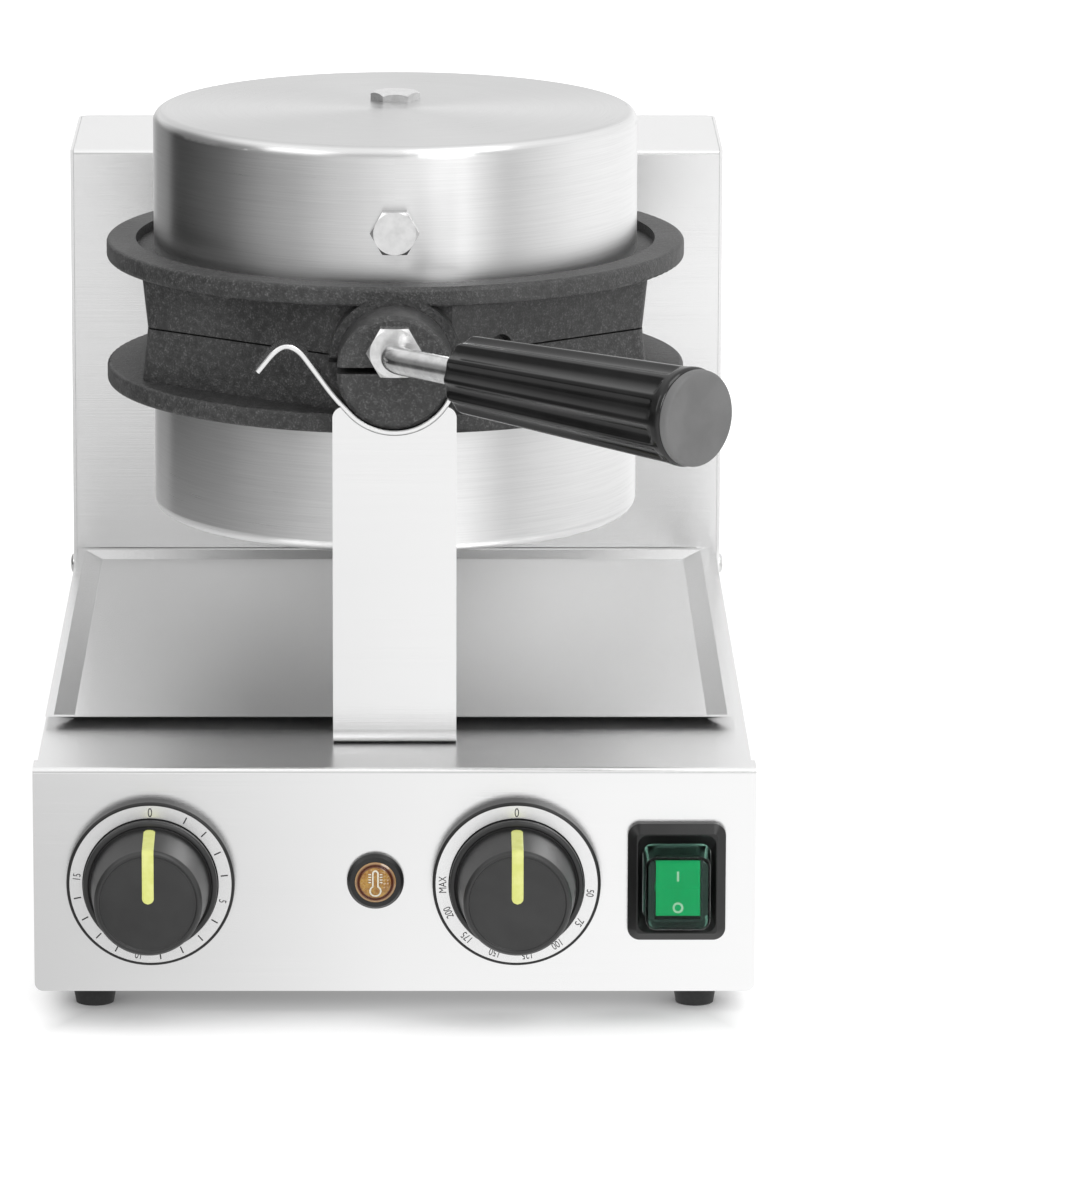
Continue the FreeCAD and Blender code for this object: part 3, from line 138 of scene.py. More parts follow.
# one Principled finish: fixed values go on its own sockets, vary gives what changes over it
def finishOf(name, fixed, vary):
    material = bpy.data.materials.new(name)
    material.use_nodes = True
    tree = material.node_tree
    shader = tree.nodes["Principled BSDF"]
    for key, value in fixed.items():
        shader.inputs[key].default_value = value
    place = Shade(tree).node("TexCoord", {}, {}, "Object")
    for key, value in vary(place).items():
        tree.links.new(value.socket, shader.inputs[key])
    return material


# brushed metal: the mean of a drawn-out grain and a broad cloud, each with its share, gives the
# tone; both add to the roughness, and the grain gives the bump
def grainLook(place, run, look, dark, light):
    scale = (look["along"], look["across"], look["across"])
    grain = noise(run, scale, look["detail"], look["coarse"])
    cloud = noise(place, look["cloud"], look["detail"])
    share = look["grainShare"]
    tone = (grain * share + cloud * (1 - share)).ease(*look["toneSpan"])
    return {
        "Base Color": tone.blend(dark, light),
        "Roughness": look["rough"] + grain * look["grainLift"] + cloud * look["cloudLift"],
        "Normal": bump(grain, *look["bump"]),
    }


brushed = {
    "fixed": {"Metallic": 1.0},
    "along": 9.0, "across": 4200.0, "detail": 3.0, "coarse": 0.65, "cloud": (14.0, 20.0, 20.0),
    "grainShare": 0.7, "toneSpan": (0.25, 0.75), "dark": 0.89, "light": 0.92,
    "rough": 0.19, "grainLift": 0.04, "cloudLift": 0.04, "bump": (0.25, 0.00012),
    "sideFrom": (0.6, 0.8),  # how far a face looks sideways before its grain stands upright
}


# sheet steel: the grain runs along X on fronts and tops, and upright on the sides
def sheetSteel(place):
    facing = place.node("TexCoord", {}, {}, "Normal").axis("X")
    isSide = facing.size().ease(*brushed["sideFrom"])
    x, y, z = (place.axis(name) for name in "XYZ")
    turned = place.node("CombineXYZ", {}, {"X": z, "Y": y, "Z": x})
    run = isSide.node("Mix", {"data_type": "VECTOR"}, {0: isSide, 4: place, 5: turned}, 1)
    return grainLook(place, run, brushed, grey(brushed["dark"]), grey(brushed["light"]))


canMiddle = (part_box("upper_can")[0].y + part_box("upper_can")[1].y) / 2
spun = {
    "fixed": {"Metallic": 1.0, "Anisotropic": 0.75, "Anisotropic Rotation": 0.25},
    "along": 3.0, "across": 2400.0, "detail": 3.0, "coarse": 0.6, "cloud": (16.0, 16.0, 30.0),
    "grainShare": 0.7, "toneSpan": (0.25, 0.75), "dark": 0.78, "light": 0.88,
    "rough": 0.24, "grainLift": 0.06, "cloudLift": 0.04, "bump": (0.08, 0.00005),
    "endFrom": (0.75, 0.97), "paintedEndShade": 0.80,
}


# spun steel: the grain is read on angle, radius and height, so it runs round the can's axis;
# the flat ends have a share of the wall's tone, a painted shade that darkens them
def canSteel(place):
    x, y, z = place.axis("X"), place.axis("Y") - canMiddle, place.axis("Z")
    angle = x.maths("ARCTAN2", x, y)
    wrapped = place.node("CombineXYZ", {}, {"X": angle, "Y": x.hypot(y), "Z": z})
    facing = place.node("TexCoord", {}, {}, "Normal").axis("Z")
    isEnd = facing.size().ease(*spun["endFrom"])
    # painted shade: the flat ends' tones are scaled down so they read darker than the wall
    dark, light = (isEnd.blend(grey(spun[key]), grey(spun[key] * spun["paintedEndShade"]))
                   for key in ("dark", "light"))
    return grainLook(place, wrapped, spun, dark, light)


# noise is given as scale, detail and coarseness
cast = {
    "fixed": {"Specular IOR Level": 0.6},
    "lump": (420.0, 4.0, 0.62), "sand": (1500.0, 2.0, 0.5), "cloud": (26.0, 3.0),
    "lumpShare": 0.5, "toneSpan": (0.3, 0.7), "dark": 0.018, "light": 0.050,
    "speck": 0.11, "sandSpeck": (0.46, 0.72), "lumpSpeck": (0.36, 0.62),
    "rough": 0.46, "lumpLift": 0.2, "oil": 0.1,
    "lumpRise": 0.7, "sandRise": 0.5, "bump": (0.8, 0.0008),
}


# sand-cast iron: a lumpy skin, pale specks where sand and lumps are both high, and a little oil
# that makes some of it shine
def castIron(place):
    lump, sand, cloud = (noise(place, *cast[key]) for key in ("lump", "sand", "cloud"))
    mean = lump * cast["lumpShare"] + cloud * (1 - cast["lumpShare"])
    tone = mean.ease(*cast["toneSpan"]).blend(grey(cast["dark"]), grey(cast["light"]))
    speck = sand.ease(*cast["sandSpeck"]) * lump.ease(*cast["lumpSpeck"])
    height = lump * cast["lumpRise"] + sand * cast["sandRise"]
    return {
        "Base Color": speck.blend(tone, grey(cast["speck"])),
        "Roughness": cast["rough"] + lump * cast["lumpLift"] - cloud * cast["oil"],
        "Normal": bump(height, *cast["bump"]),
    }


amber = {
    "fixed": {"Coat Weight": 0.5, "Coat Roughness": 0.05},
    "deep": (0.30, 0.13, 0.02, 1), "body": (0.46, 0.26, 0.05, 1),
    "rim": (0.40, 0.24, 0.11, 1), "ring": (0.10, 0.025, 0.008, 1),
    "cloud": (500.0, 3.0), "toneSpan": (0.3, 0.7), "rough": 0.10, "lift": 0.08,
    "rimFrom": (0.0056, 0.0064), "ringAt": 0.0059, "ringFade": (0.0003, 0.0009),
}


# amber lens: the colour goes by distance from the lamp's middle, with a dark ring near the rim
def amberLens(place):
    low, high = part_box("lamp_lens")
    x, z = place.axis("X") - (low.x + high.x) / 2, place.axis("Z") - (low.z + high.z) / 2
    reach = x.hypot(z)
    cloud = noise(place, *amber["cloud"])
    ring = 1.0 - (reach - amber["ringAt"]).size().ease(*amber["ringFade"])
    body = cloud.ease(*amber["toneSpan"]).blend(amber["deep"], amber["body"])
    shell = reach.ease(*amber["rimFrom"]).blend(body, amber["rim"])
    return {
        "Base Color": ring.blend(shell, amber["ring"]),
        "Roughness": amber["rough"] + cloud * amber["lift"],
    }


lit = {
    "fixed": {"Specular IOR Level": 0.08},
    "dark": (0.003, 0.34, 0.12, 1), "light": (0.006, 0.46, 0.17, 1),
    "wave": 6600.0, "rough": 0.22, "lift": 0.04,
}


# the rocker's green face shows the fine square grid moulded behind it: sine across times sine up
def greenRocker(place):
    x, z = place.axis("X") * lit["wave"], place.axis("Z") * lit["wave"]
    grid = x.maths("SINE", x) * z.maths("SINE", z)
    return {
        "Base Color": grid.ease(-1.0, 1.0).blend(lit["dark"], lit["light"]),
        "Roughness": lit["rough"] + grid * lit["lift"],
    }


# cloud and skin: noise scale, detail and coarseness; tones: where the cloud is low and high;
# lift: what the cloud and the skin add to the roughness; bump: strength and depth of the skin
softSpan = (0.3, 0.7)
plain = {
    "boltSteel": {
        "fixed": {"Metallic": 1.0}, "cloud": (220.0, 4.0, 0.6), "skin": (1800.0, 2.0),
        "span": softSpan, "tones": (grey(0.66), grey(0.80)),
        "rough": 0.16, "lift": (0.16, 0.0), "bump": (0.12, 0.00008)},
    "heaterSteel": {
        "fixed": {"Metallic": 1.0}, "cloud": (90.0, 4.0),
        "span": softSpan, "tones": ((0.20, 0.17, 0.15, 1), (0.34, 0.30, 0.27, 1)),
        "rough": 0.35, "lift": (0.25, 0.0)},
    "bronze": {
        "fixed": {"Metallic": 1.0}, "cloud": (120.0, 4.0),
        "span": softSpan, "tones": ((0.52, 0.33, 0.15, 1), (0.66, 0.45, 0.22, 1)),
        "rough": 0.28, "lift": (0.2, 0.0)},
    "rubber": {
        "cloud": (900.0, 3.0), "span": softSpan, "tones": (grey(0.012), grey(0.022)),
        "rough": 0.62, "lift": (0.2, 0.0), "bump": (0.3, 0.0002)},
    "satinBlack": {
        "fixed": {"Specular IOR Level": 0.35}, "cloud": (60.0, 3.0), "skin": (1600.0, 2.0),
        "span": softSpan, "tones": (grey(0.016), grey(0.024)),
        "rough": 0.24, "lift": (0.05, 0.08), "bump": (0.08, 0.0001)},
    "gripBlack": {
        "fixed": {"Specular IOR Level": 0.5}, "cloud": (45.0, 4.0), "skin": (700.0, 2.0),
        "span": softSpan, "tones": (grey(0.007), grey(0.012)),
        "rough": 0.11, "lift": (0.08, 0.0), "bump": (0.05, 0.0001)},
    "capGrey": {
        "cloud": (70.0, 3.0), "skin": (1400.0, 3.0),
        "span": softSpan, "tones": (grey(0.135), grey(0.165)),
        "rough": 0.48, "lift": (0.0, 0.14), "bump": (0.18, 0.0001)},
    "dialSilver": {
        "fixed": {"Metallic": 0.85}, "cloud": (1100.0, 3.0),
        "span": (0.2, 0.8), "tones": (grey(0.86), grey(0.89)), "rough": 0.24, "lift": (0.03, 0.0)},
    "limePaint": {
        "cloud": (300.0, 3.0),
        "span": softSpan, "tones": ((0.64, 0.67, 0.19, 1), (0.71, 0.73, 0.26, 1)),
        "rough": 0.36, "lift": (0.12, 0.0)},
    "clearBoot": {
        "fixed": {"Transmission Weight": 1.0, "IOR": 1.22}, "cloud": (160.0, 3.0),
        "span": softSpan, "tones": ((0.62, 0.93, 0.81, 1), (0.72, 0.97, 0.88, 1)),
        "rough": 0.03, "lift": (0.04, 0.0)},
    "palePlastic": {
        "cloud": (120.0, 3.0),
        "span": softSpan, "tones": ((0.60, 0.58, 0.52, 1), (0.70, 0.68, 0.62, 1)),
        "rough": 0.42, "lift": (0.15, 0.0)},
    # the knobs' moulding is rougher and a little paler than the bezels'
    "knobBlack": {
        "fixed": {"Specular IOR Level": 0.55}, "cloud": (60.0, 3.0),
        "span": softSpan, "tones": (grey(0.018), grey(0.026)), "rough": 0.34, "lift": (0.06, 0.0)},
    "printBlack": {
        "cloud": (800.0, 2.0), "tones": (grey(0.02), grey(0.05)),
        "rough": 0.5, "lift": (0.1, 0.0)},
    "printCream": {
        "cloud": (800.0, 2.0), "tones": ((0.66, 0.62, 0.50, 1), (0.78, 0.75, 0.64, 1)),
        "rough": 0.4, "lift": (0.1, 0.0)},
}


# a plain finish: the cloud sets the tone, eased where it has a span, cloud and skin add to the
# roughness, and the skin, or else the cloud, gives the bump
def plainFinish(name):
    look = plain[name]

    def vary(place):
        cloud = noise(place, *look["cloud"])
        skin = noise(place, *look["skin"]) if "skin" in look else cloud
        tone = cloud.ease(*look["span"]) if "span" in look else cloud
        cloudLift, skinLift = look["lift"]
        changes = {
            "Base Color": tone.blend(*look["tones"]),
            "Roughness": look["rough"] + cloud * cloudLift + skin * skinLift,
        }
        if "bump" in look:
            changes["Normal"] = bump(skin, *look["bump"])
        return changes

    return finishOf(name, look.get("fixed", {}), vary)


finishes = {
    "stainless": finishOf("sheetSteel", brushed["fixed"], sheetSteel),
    "can_steel": finishOf("canSteel", spun["fixed"], canSteel),
    "fastener_steel": plainFinish("boltSteel"),
    "casting": finishOf("castIron", cast["fixed"], castIron),
    "heater_steel": plainFinish("heaterSteel"),
    "bronze": plainFinish("bronze"),
    "rubber": plainFinish("rubber"),
    "black_plastic": plainFinish("satinBlack"),
    "grip_plastic": plainFinish("gripBlack"),
    "cap_plastic": plainFinish("capGrey"),
    "dial_metal": plainFinish("dialSilver"),
    "pointer_lime": plainFinish("limePaint"),
    "amber_lens": finishOf("amberLens", amber["fixed"], amberLens),
    "green_rocker": finishOf("greenRocker", lit["fixed"], greenRocker),
    "clear_boot": plainFinish("clearBoot"),
    "pale_plastic": plainFinish("palePlastic"),
}
knobBlack = plainFinish("knobBlack")
printBlack = plainFinish("printBlack")
printCream = plainFinish("printCream")

for item in nodes.values():
    slotName = item.data.materials[0].name
    item.data.materials[0] = finishes[slotName]
print("finishes set")


# quads between neighbouring rows and columns of a grid; each row closes on itself, and the rows may
def gridFaces(rows, columns, closeRows=False):
    rowRange = np.arange(rows if closeRows else rows - 1)
    i, j = np.meshgrid(rowRange, np.arange(columns), indexing="ij")
    nextI, nextJ = (i + 1) % rows, (j + 1) % columns
    corners = [i * columns + j, i * columns + nextJ, nextI * columns + nextJ, nextI * columns + j]
    return np.stack(corners, -1).reshape(-1, 4).tolist()


# several sets of points, each with its own faces, as one set
def joined(parts):
    starts = np.cumsum([0] + [len(spots) for spots, _ in parts]).tolist()
    faces = [[start + corner for corner in face]
             for start, (_, some) in zip(starts, parts) for face in some]
    return np.concatenate([spots for spots, _ in parts]), faces


seams = {"join": 1e-6, "thin": 1e-7}


# puts points and faces into an object at the origin, closes its seams and poles and turns its
# faces outwards; edges sharper than the angle stay crisp
def makePiece(name, points, faces, body, slotName, replaced=(), finish=None, sharp=35.0):
    mesh = bpy.data.meshes.new(name)
    mesh.from_pydata(np.asarray(points).reshape(-1, 3).tolist(), [], faces)
    work = bmesh.new()
    work.from_mesh(mesh)
    bmesh.ops.remove_doubles(work, verts=work.verts, dist=seams["join"])
    bmesh.ops.dissolve_degenerate(work, edges=work.edges, dist=seams["thin"])
    bmesh.ops.recalc_face_normals(work, faces=work.faces)
    work.to_mesh(mesh)
    work.free()
    mesh.shade_smooth()
    mesh.set_sharp_from_angle(angle=math.radians(sharp))
    mesh.materials.append(finish or finishes[slotName])
    item = bpy.data.objects.new(name, mesh)
    bpy.context.scene.collection.objects.link(item)
    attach(item, body)
    if replaced:
        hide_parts(*replaced)


# a line through corners, each inner one a parabola between points a set way along its two edges
def softCorners(corners, cuts, steps=6):
    t = np.linspace(0.0, 1.0, steps)[:, None]
    line = [np.array(corners[:1], float)]
    for before, corner, after, cut in zip(corners, corners[1:], corners[2:], cuts):
        a, c, b = (np.array(spot, float) for spot in (before, corner, after))
        start = c + (a - c) / np.linalg.norm(a - c) * cut
        end = c + (b - c) / np.linalg.norm(b - c) * cut
        line.append((1 - t) ** 2 * start + 2 * t * (1 - t) * c + t ** 2 * end)
    line.append(np.array(corners[-1:], float))
    return np.concatenate(line)


# the same line with points evenly spaced along it, and how far along each one is
def evenLine(line, count):
    step = np.linalg.norm(np.diff(line, axis=0), axis=1)
    run = np.concatenate([[0.0], np.cumsum(step)])
    even = np.linspace(0.0, run[-1], count)
    return np.stack([np.interp(even, run, way) for way in line.T], -1), even


# each step divided by its own length
def unit(steps):
    return steps / np.linalg.norm(steps, axis=1)[:, None]


# angles evenly spaced round one full turn, in radians
def roundAngles(count):
    return np.linspace(0.0, 2 * math.pi, count, endpoint=False)


# 0 at low, 1 at high, straight between and level beyond
def ramp(value, low, high):
    return np.clip((value - low) / (high - low), 0.0, 1.0)


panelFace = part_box("base_shell")[0].y


# right, up and outwards from the panel at a control's middle, given in millimetres
def onPanel(node, right, up, out):
    low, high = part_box(node)
    x, z = (low.x + high.x) / 2, (low.z + high.z) / 2
    right, up, out = np.broadcast_arrays(right, up, out)
    return np.stack([x + right * mm, panelFace - out * mm, z + up * mm], -1)


knob = {
    # radius and height above the panel: skirt, lip, root groove, cone, rim, ring groove, crown
    "corners": [(0.0, 6.6), (23.2, 6.6), (23.2, 9.5), (21.5, 9.6), (21.1, 9.1), (20.7, 9.6),
                (18.6, 31.3), (17.6, 32.5), (16.8, 32.45), (16.5, 31.9), (15.9, 31.95),
                (15.6, 31.95), (8.0, 32.42), (0.0, 32.6)],
    "cuts": (0.3, 1.1, 0.25, 0.2, 0.25, 0.5, 0.4, 0.2, 0.2, 0.2, 0.2, 3.0),
    "segments": 180, "sharp": 40.0,
}


# the knob: its profile turned round, radius times sine and cosine of the angle at each height
def makeKnob(name):
    profile = softCorners(knob["corners"], knob["cuts"])
    radius, height = profile[:, :1], profile[:, 1:]
    angle = roundAngles(knob["segments"])
    spots = onPanel(name + "_bezel", radius * np.sin(angle), radius * np.cos(angle), height)
    faces = gridFaces(len(profile), knob["segments"])
    makePiece(name + "_turnknob", spots, faces, name, "black_plastic", (name + "_knob",),
              knobBlack, knob["sharp"])


pointer = {
    "half": 2.0, "proud": 0.32, "shoulder": 0.16, "sunk": 0.6,
    # radius and height above the panel: up the cone, over the rim and in to the middle
    "corners": [(20.5, 11.3), (18.6, 31.3), (17.6, 32.42), (8.0, 32.5), (0.0, 32.6)],
    "cuts": (0.7, 0.5, 3.0), "rows": 120,
    "across": (-1.0, -1.0, -0.88, -0.5, 0.0, 0.5, 0.88, 1.0, 1.0),
}


# the stripe: a flat band carried along the knob's outline, its half width following a circle at
# both ends
def makePointer(name):
    line, run = evenLine(softCorners(pointer["corners"], pointer["cuts"]), pointer["rows"])
    heading = unit(np.gradient(line, axis=0))
    away = np.stack([heading[:, 1], -heading[:, 0]], -1)
    away *= np.sign(away[:, :1] + away[:, 1:])
    toEnd = np.minimum(np.minimum(run, run[-1] - run), pointer["half"])
    half = np.sqrt(np.clip(2 * pointer["half"] * toEnd - toEnd ** 2, 0.0, None))
    across = np.array(pointer["across"])
    edge = [-pointer["sunk"], pointer["shoulder"]]
    top = [pointer["proud"]] * (len(across) - 2 * len(edge))
    lift = np.array(edge + top + edge[::-1])
    up = line[:, :1] + away[:, :1] * lift
    out = line[:, 1:] + away[:, 1:] * lift
    spots = onPanel(name + "_bezel", half[:, None] * across, up, out)
    faces = gridFaces(len(line), len(across))
    makePiece(name + "_stripe", spots, faces, name, "pointer_lime", (name + "_pointer",))


# angles are in degrees clockwise from the top, lengths in millimetres
scales = {
    "tall": 3.2, "small": 2.6, "squeeze": 0.74, "letterRadius": 25.6, "letterDepth": 0.02,
    "curveSteps": 5, "tickRadius": 25.7, "tick": (0.45, 2.5), "proud": 6.12, "thick": 0.05,
    "timer": {
        "words": {0.0: "0", 103.5: "5", 190.0: "10", 276.4: "15"},
        "ticks": [28.0, 46.0, 64.5, 83.0, 120.8, 138.1, 155.4, 172.7, 207.3, 224.6, 241.9, 259.2]},
    "thermostat": {
        "words": {0.0: "0", 97.0: "50", 122.0: "75", 147.0: "100", 172.0: "125", 197.6: "150",
                  222.7: "175", 247.0: "200", 270.0: "MAX"},
        "ticks": []},
}


# one word as a thin closed plate, centred, its height 1
def wordPlate(word):
    curve = bpy.data.curves.new("word", "FONT")
    curve.body, curve.extrude = word, scales["letterDepth"]
    curve.resolution_u = scales["curveSteps"]
    holder = bpy.data.objects.new("word", curve)
    bpy.context.scene.collection.objects.link(holder)
    bpy.context.view_layer.update()
    solid = holder.evaluated_get(bpy.context.evaluated_depsgraph_get())
    mesh = bpy.data.meshes.new_from_object(solid)
    spots = np.empty(len(mesh.vertices) * 3)
    mesh.vertices.foreach_get("co", spots)
    spots = spots.reshape(-1, 3)
    faces = [list(face.vertices) for face in mesh.polygons]
    bpy.data.objects.remove(holder)
    low, high = spots.min(0), spots.max(0)
    return (spots - (low + high) / 2) / (high[1] - low[1]), faces


# a bar as a closed plate, centred, each side 1
def barPlate():
    signs = np.array([(x, y, z) for x in (-1, 1) for y in (-1, 1) for z in (-1, 1)], float)
    faces = [[0, 1, 3, 2], [4, 6, 7, 5], [0, 4, 5, 1], [2, 3, 7, 6], [0, 2, 6, 4], [1, 5, 7, 3]]
    return signs * 0.5, faces


# dial print: every plate is scaled, turned clockwise with its top outwards and set on the ring
def makeScale(name):
    marks = scales[name]
    width, tall = scales["tick"]
    plates = [(angle, wordPlate(word), scales["tall"] if angle == 0 else scales["small"],
               scales["squeeze"], scales["letterRadius"])
              for angle, word in marks["words"].items()]
    plates += [(angle, barPlate(), tall, width / tall, scales["tickRadius"])
               for angle in marks["ticks"]]
    parts = []
    for angle, (plate, faces), height, squeeze, radius in plates:
        turn = math.radians(angle)
        x, y = plate[:, 0] * height * squeeze, plate[:, 1] * height + radius
        right = x * math.cos(turn) + y * math.sin(turn)
        up = y * math.cos(turn) - x * math.sin(turn)
        out = scales["proud"] + np.sign(plate[:, 2]) * scales["thick"]
        parts.append((onPanel(name + "_bezel", right, up, out), faces))
    makePiece(name + "_scale", *joined(parts), "base", "black_plastic", finish=printBlack)


handle = {"turn": 45.0, "corner": 12.0}  # degrees from the front, and mm from nut to bend


# a point by its way along the handle's axis, its distance from that axis and the angle round it
def onHandle(along, radius, angle):
    capLow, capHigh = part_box("handle_cap")
    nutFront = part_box("handle_nut")[0].y
    along, radius, angle = np.broadcast_arrays(along, radius, angle)
    corner = np.array([0.0, nutFront - handle["corner"] * mm, (capLow.z + capHigh.z) / 2])
    lean = math.radians(handle["turn"])
    axis = np.array([math.sin(lean), -math.cos(lean), 0.0])
    side = np.array([math.cos(lean), math.sin(lean), 0.0])
    rise = np.array([0.0, 0.0, 1.0])
    reach = (radius * np.cos(angle))[..., None] * side + (radius * np.sin(angle))[..., None] * rise
    return corner + mm * (along[..., None] * axis + reach)


grip = {
    "start": 35.5, "end": 139.7, "inner": 13.5, "outer": 16.8, "bore": 4.78, "boreDepth": 58.2,
    "nose": 4.0, "noseFlare": 0.2, "shoulder": 3.0, "shoulderStep": 0.1, "rim": 1.1,
    "cuts": (3.2, 1.0, 0.6, 0.5), "cornerSteps": 10, "rows": 170, "sharp": 50.0,
    "flutes": 12, "perFlute": 24, "depth": 1.5, "ridge": 0.18,
    "runIn": (-1.0, 3.0), "runOut": (100.7, 98.1),
}


# the grip: radius grows evenly along the axis, less a parabola of depth across each flute that
# fades at both ends
def makeGrip():
    length = grip["end"] - grip["start"]
    inner, outer, flare = grip["inner"], grip["outer"], grip["noseFlare"]
    well = [(0.0, grip["boreDepth"]), (grip["bore"], grip["boreDepth"])]
    corners = [(grip["bore"], 0.0), (inner - flare, 0.0), (inner + flare, grip["nose"]),
               (outer - grip["shoulderStep"], length - grip["shoulder"]),
               (outer, length - grip["rim"]), (outer - grip["rim"], length)]
    skin, _ = evenLine(softCorners(corners, grip["cuts"], grip["cornerSteps"]), grip["rows"])
    line = np.concatenate([well, skin, [(0.0, length)]])
    columns = grip["flutes"] * grip["perFlute"]
    angle = roundAngles(columns)
    turns = angle * grip["flutes"] / (2 * math.pi)
    across = np.abs(2 * (turns % 1.0) - 1) / (1 - grip["ridge"])
    flute = np.clip(1 - across ** 2, 0.0, None)
    along = line[:, 1]
    fade = ramp(along, *grip["runIn"]) * ramp(along, *grip["runOut"])
    fade[:len(well)] = 0.0
    fade = fade * fade * (3 - 2 * fade)
    radius = line[:, :1] - grip["depth"] * fade[:, None] * flute
    spots = onHandle((grip["start"] + along)[:, None], radius, angle)
    makePiece("fluted_grip", spots, gridFaces(len(line), columns), "lid", "grip_plastic",
              ("handle_grip",), sharp=grip["sharp"])


cap = {
    # radius and way past the grip's end
    "corners": [(0.0, -0.4), (15.6, -0.4), (16.2, 0.5), (16.2, 3.6), (0.0, 4.0)],
    "cuts": (0.3, 0.3, 1.5), "cornerSteps": 10, "segments": 160, "sharp": 40.0,
}


# the cap: a disc set a little inside the grip's rim, its profile turned round the handle's axis
def makeCap():
    profile = softCorners(cap["corners"], cap["cuts"], cap["cornerSteps"])
    angle = roundAngles(cap["segments"])
    spots = onHandle(grip["end"] + profile[:, 1:], profile[:, :1], angle)
    makePiece("round_cap", spots, gridFaces(len(profile), cap["segments"]), "lid", "cap_plastic",
              ("handle_cap",), sharp=cap["sharp"])


lens = {
    "radius": 7.1, "rim": 3.2, "seat": 2.0, "dome": 1.7,
    "grooveAt": 5.9, "groove": 0.4, "grooveHalf": 0.22,
    "facet": 1.25, "facetHeight": 0.26, "facetEdge": 5.3, "facetFade": 0.3,
    "rows": 110, "columns": 240, "sharp": 25.0,
}


# height of the lens's plain dome: a parabola of the distance from its middle
def domeHeight(right, up):
    return lens["rim"] + lens["dome"] * (1 - (right ** 2 + up ** 2) / lens["radius"] ** 2)


# 0 to 1 and back over each facet
def facetWave(way):
    return 1 - np.abs(2 * ((way / lens["facet"]) % 1.0) - 1)


# the lens: its dome, less a ring groove, plus pyramids, each the smaller of two triangle waves
def makeLens():
    radius = np.linspace(0.0, lens["radius"], lens["rows"])
    radius = np.concatenate([radius, [lens["radius"], 0.0]])[:, None]
    angle = roundAngles(lens["columns"])
    right, up = radius * np.sin(angle), radius * np.cos(angle)
    groove = lens["groove"] * np.exp(-((radius - lens["grooveAt"]) / lens["grooveHalf"]) ** 2)
    inside = ramp(lens["facetEdge"] - radius, 0.0, lens["facetFade"])
    pyramid = np.minimum(facetWave(right), facetWave(up)) - 0.5
    out = domeHeight(right, up) - groove + lens["facetHeight"] * inside * pyramid
    out[-2:] = lens["seat"]
    makePiece("faceted_lens", onPanel("lamp_bezel", right, up, out),
              gridFaces(len(radius), lens["columns"]), "base", "amber_lens", ("lamp_lens",),
              sharp=lens["sharp"])


# height of a flat mark's faces: proud of what carries it, or sunk into it
def markLift(isTop, look):
    return np.where(isTop, look["proud"], -look["sunk"])


bandTop = np.array([True, True, False, False])  # a band's section: two corners above, two below
sign = {
    "half": 0.9, "top": 3.4, "bulb": 1.85, "bulbAt": -2.75,
    "band": 0.27, "proud": 0.22, "sunk": 0.25,
    "sideSteps": 16, "archSteps": 24, "ballSteps": 48, "rows": 180,
    "ticks": (3.1, 2.2, 1.3, 0.4), "tick": (0.95, 0.36), "tickAt": 1.95,
}


# a point on the lens: the dome's height there, plus the lift
def onLens(right, up, lift):
    return onPanel("lamp_bezel", right, up, domeHeight(right, up) + lift)


# thermometer sign: a flat band carried round the outline of a round-topped tube on a bulb, and
# short bars beside it
def makeSign():
    half, bulb = sign["half"], sign["bulb"]
    gap = math.asin(half / bulb)
    neck = sign["bulbAt"] + bulb * math.cos(gap)
    rise = np.linspace(neck, sign["top"], sign["sideSteps"])
    arch = np.linspace(-math.pi / 2, math.pi / 2, sign["archSteps"])
    ball = np.linspace(gap, 2 * math.pi - gap, sign["ballSteps"])
    left = np.stack([np.full(len(rise), -half), rise], -1)
    head = np.stack([half * np.sin(arch), sign["top"] + half * np.cos(arch)], -1)
    belly = np.stack([bulb * np.sin(ball), sign["bulbAt"] + bulb * np.cos(ball)], -1)
    outline = np.concatenate([left, head, left[::-1] * (-1, 1), belly, left[:1]])
    line = evenLine(outline, sign["rows"] + 1)[0][:-1]
    heading = unit(np.roll(line, -1, 0) - np.roll(line, 1, 0))
    side = np.stack([-heading[:, 1], heading[:, 0]], -1)
    across = np.array([-1.0, 1.0, 1.0, -1.0]) * sign["band"]
    right, up = line[:, :1] + side[:, :1] * across, line[:, 1:] + side[:, 1:] * across
    band = onLens(right, up, markLift(bandTop, sign)).reshape(-1, 3)
    parts = [(band, gridFaces(len(line), len(across), True))]
    plate, faces = barPlate()
    width, tall = sign["tick"]
    for flip in (-1, 1):
        for level in sign["ticks"]:
            right, up = flip * sign["tickAt"] + plate[:, 0] * width, level + plate[:, 1] * tall
            parts.append((onLens(right, up, markLift(plate[:, 2] > 0, sign)), faces))
    makePiece("thermometer_sign", *joined(parts), "base", "pale_plastic", finish=printCream)


rocker = {
    "half": 9.2, "depth": 8.0, "dip": 1.3, "tilt": 9.0, "pivot": 9.0, "proud": 0.06, "sunk": 0.2,
    "barAt": 4.3, "bar": (0.75, 3.4), "ringAt": -6.5, "ring": (1.12, 1.86), "ringSteps": 48,
}


# a point on the rocker's face: two slopes that meet at the middle, tipped back about its pins
def onRocker(across, along, lift):
    level = rocker["depth"] - rocker["dip"] * (1 - np.abs(along) / rocker["half"]) + lift
    tilt = math.radians(rocker["tilt"])
    up = along * math.cos(tilt) + level * math.sin(tilt)
    out = rocker["pivot"] + level * math.cos(tilt) - along * math.sin(tilt)
    return onPanel("switch_frame", across, up, out)


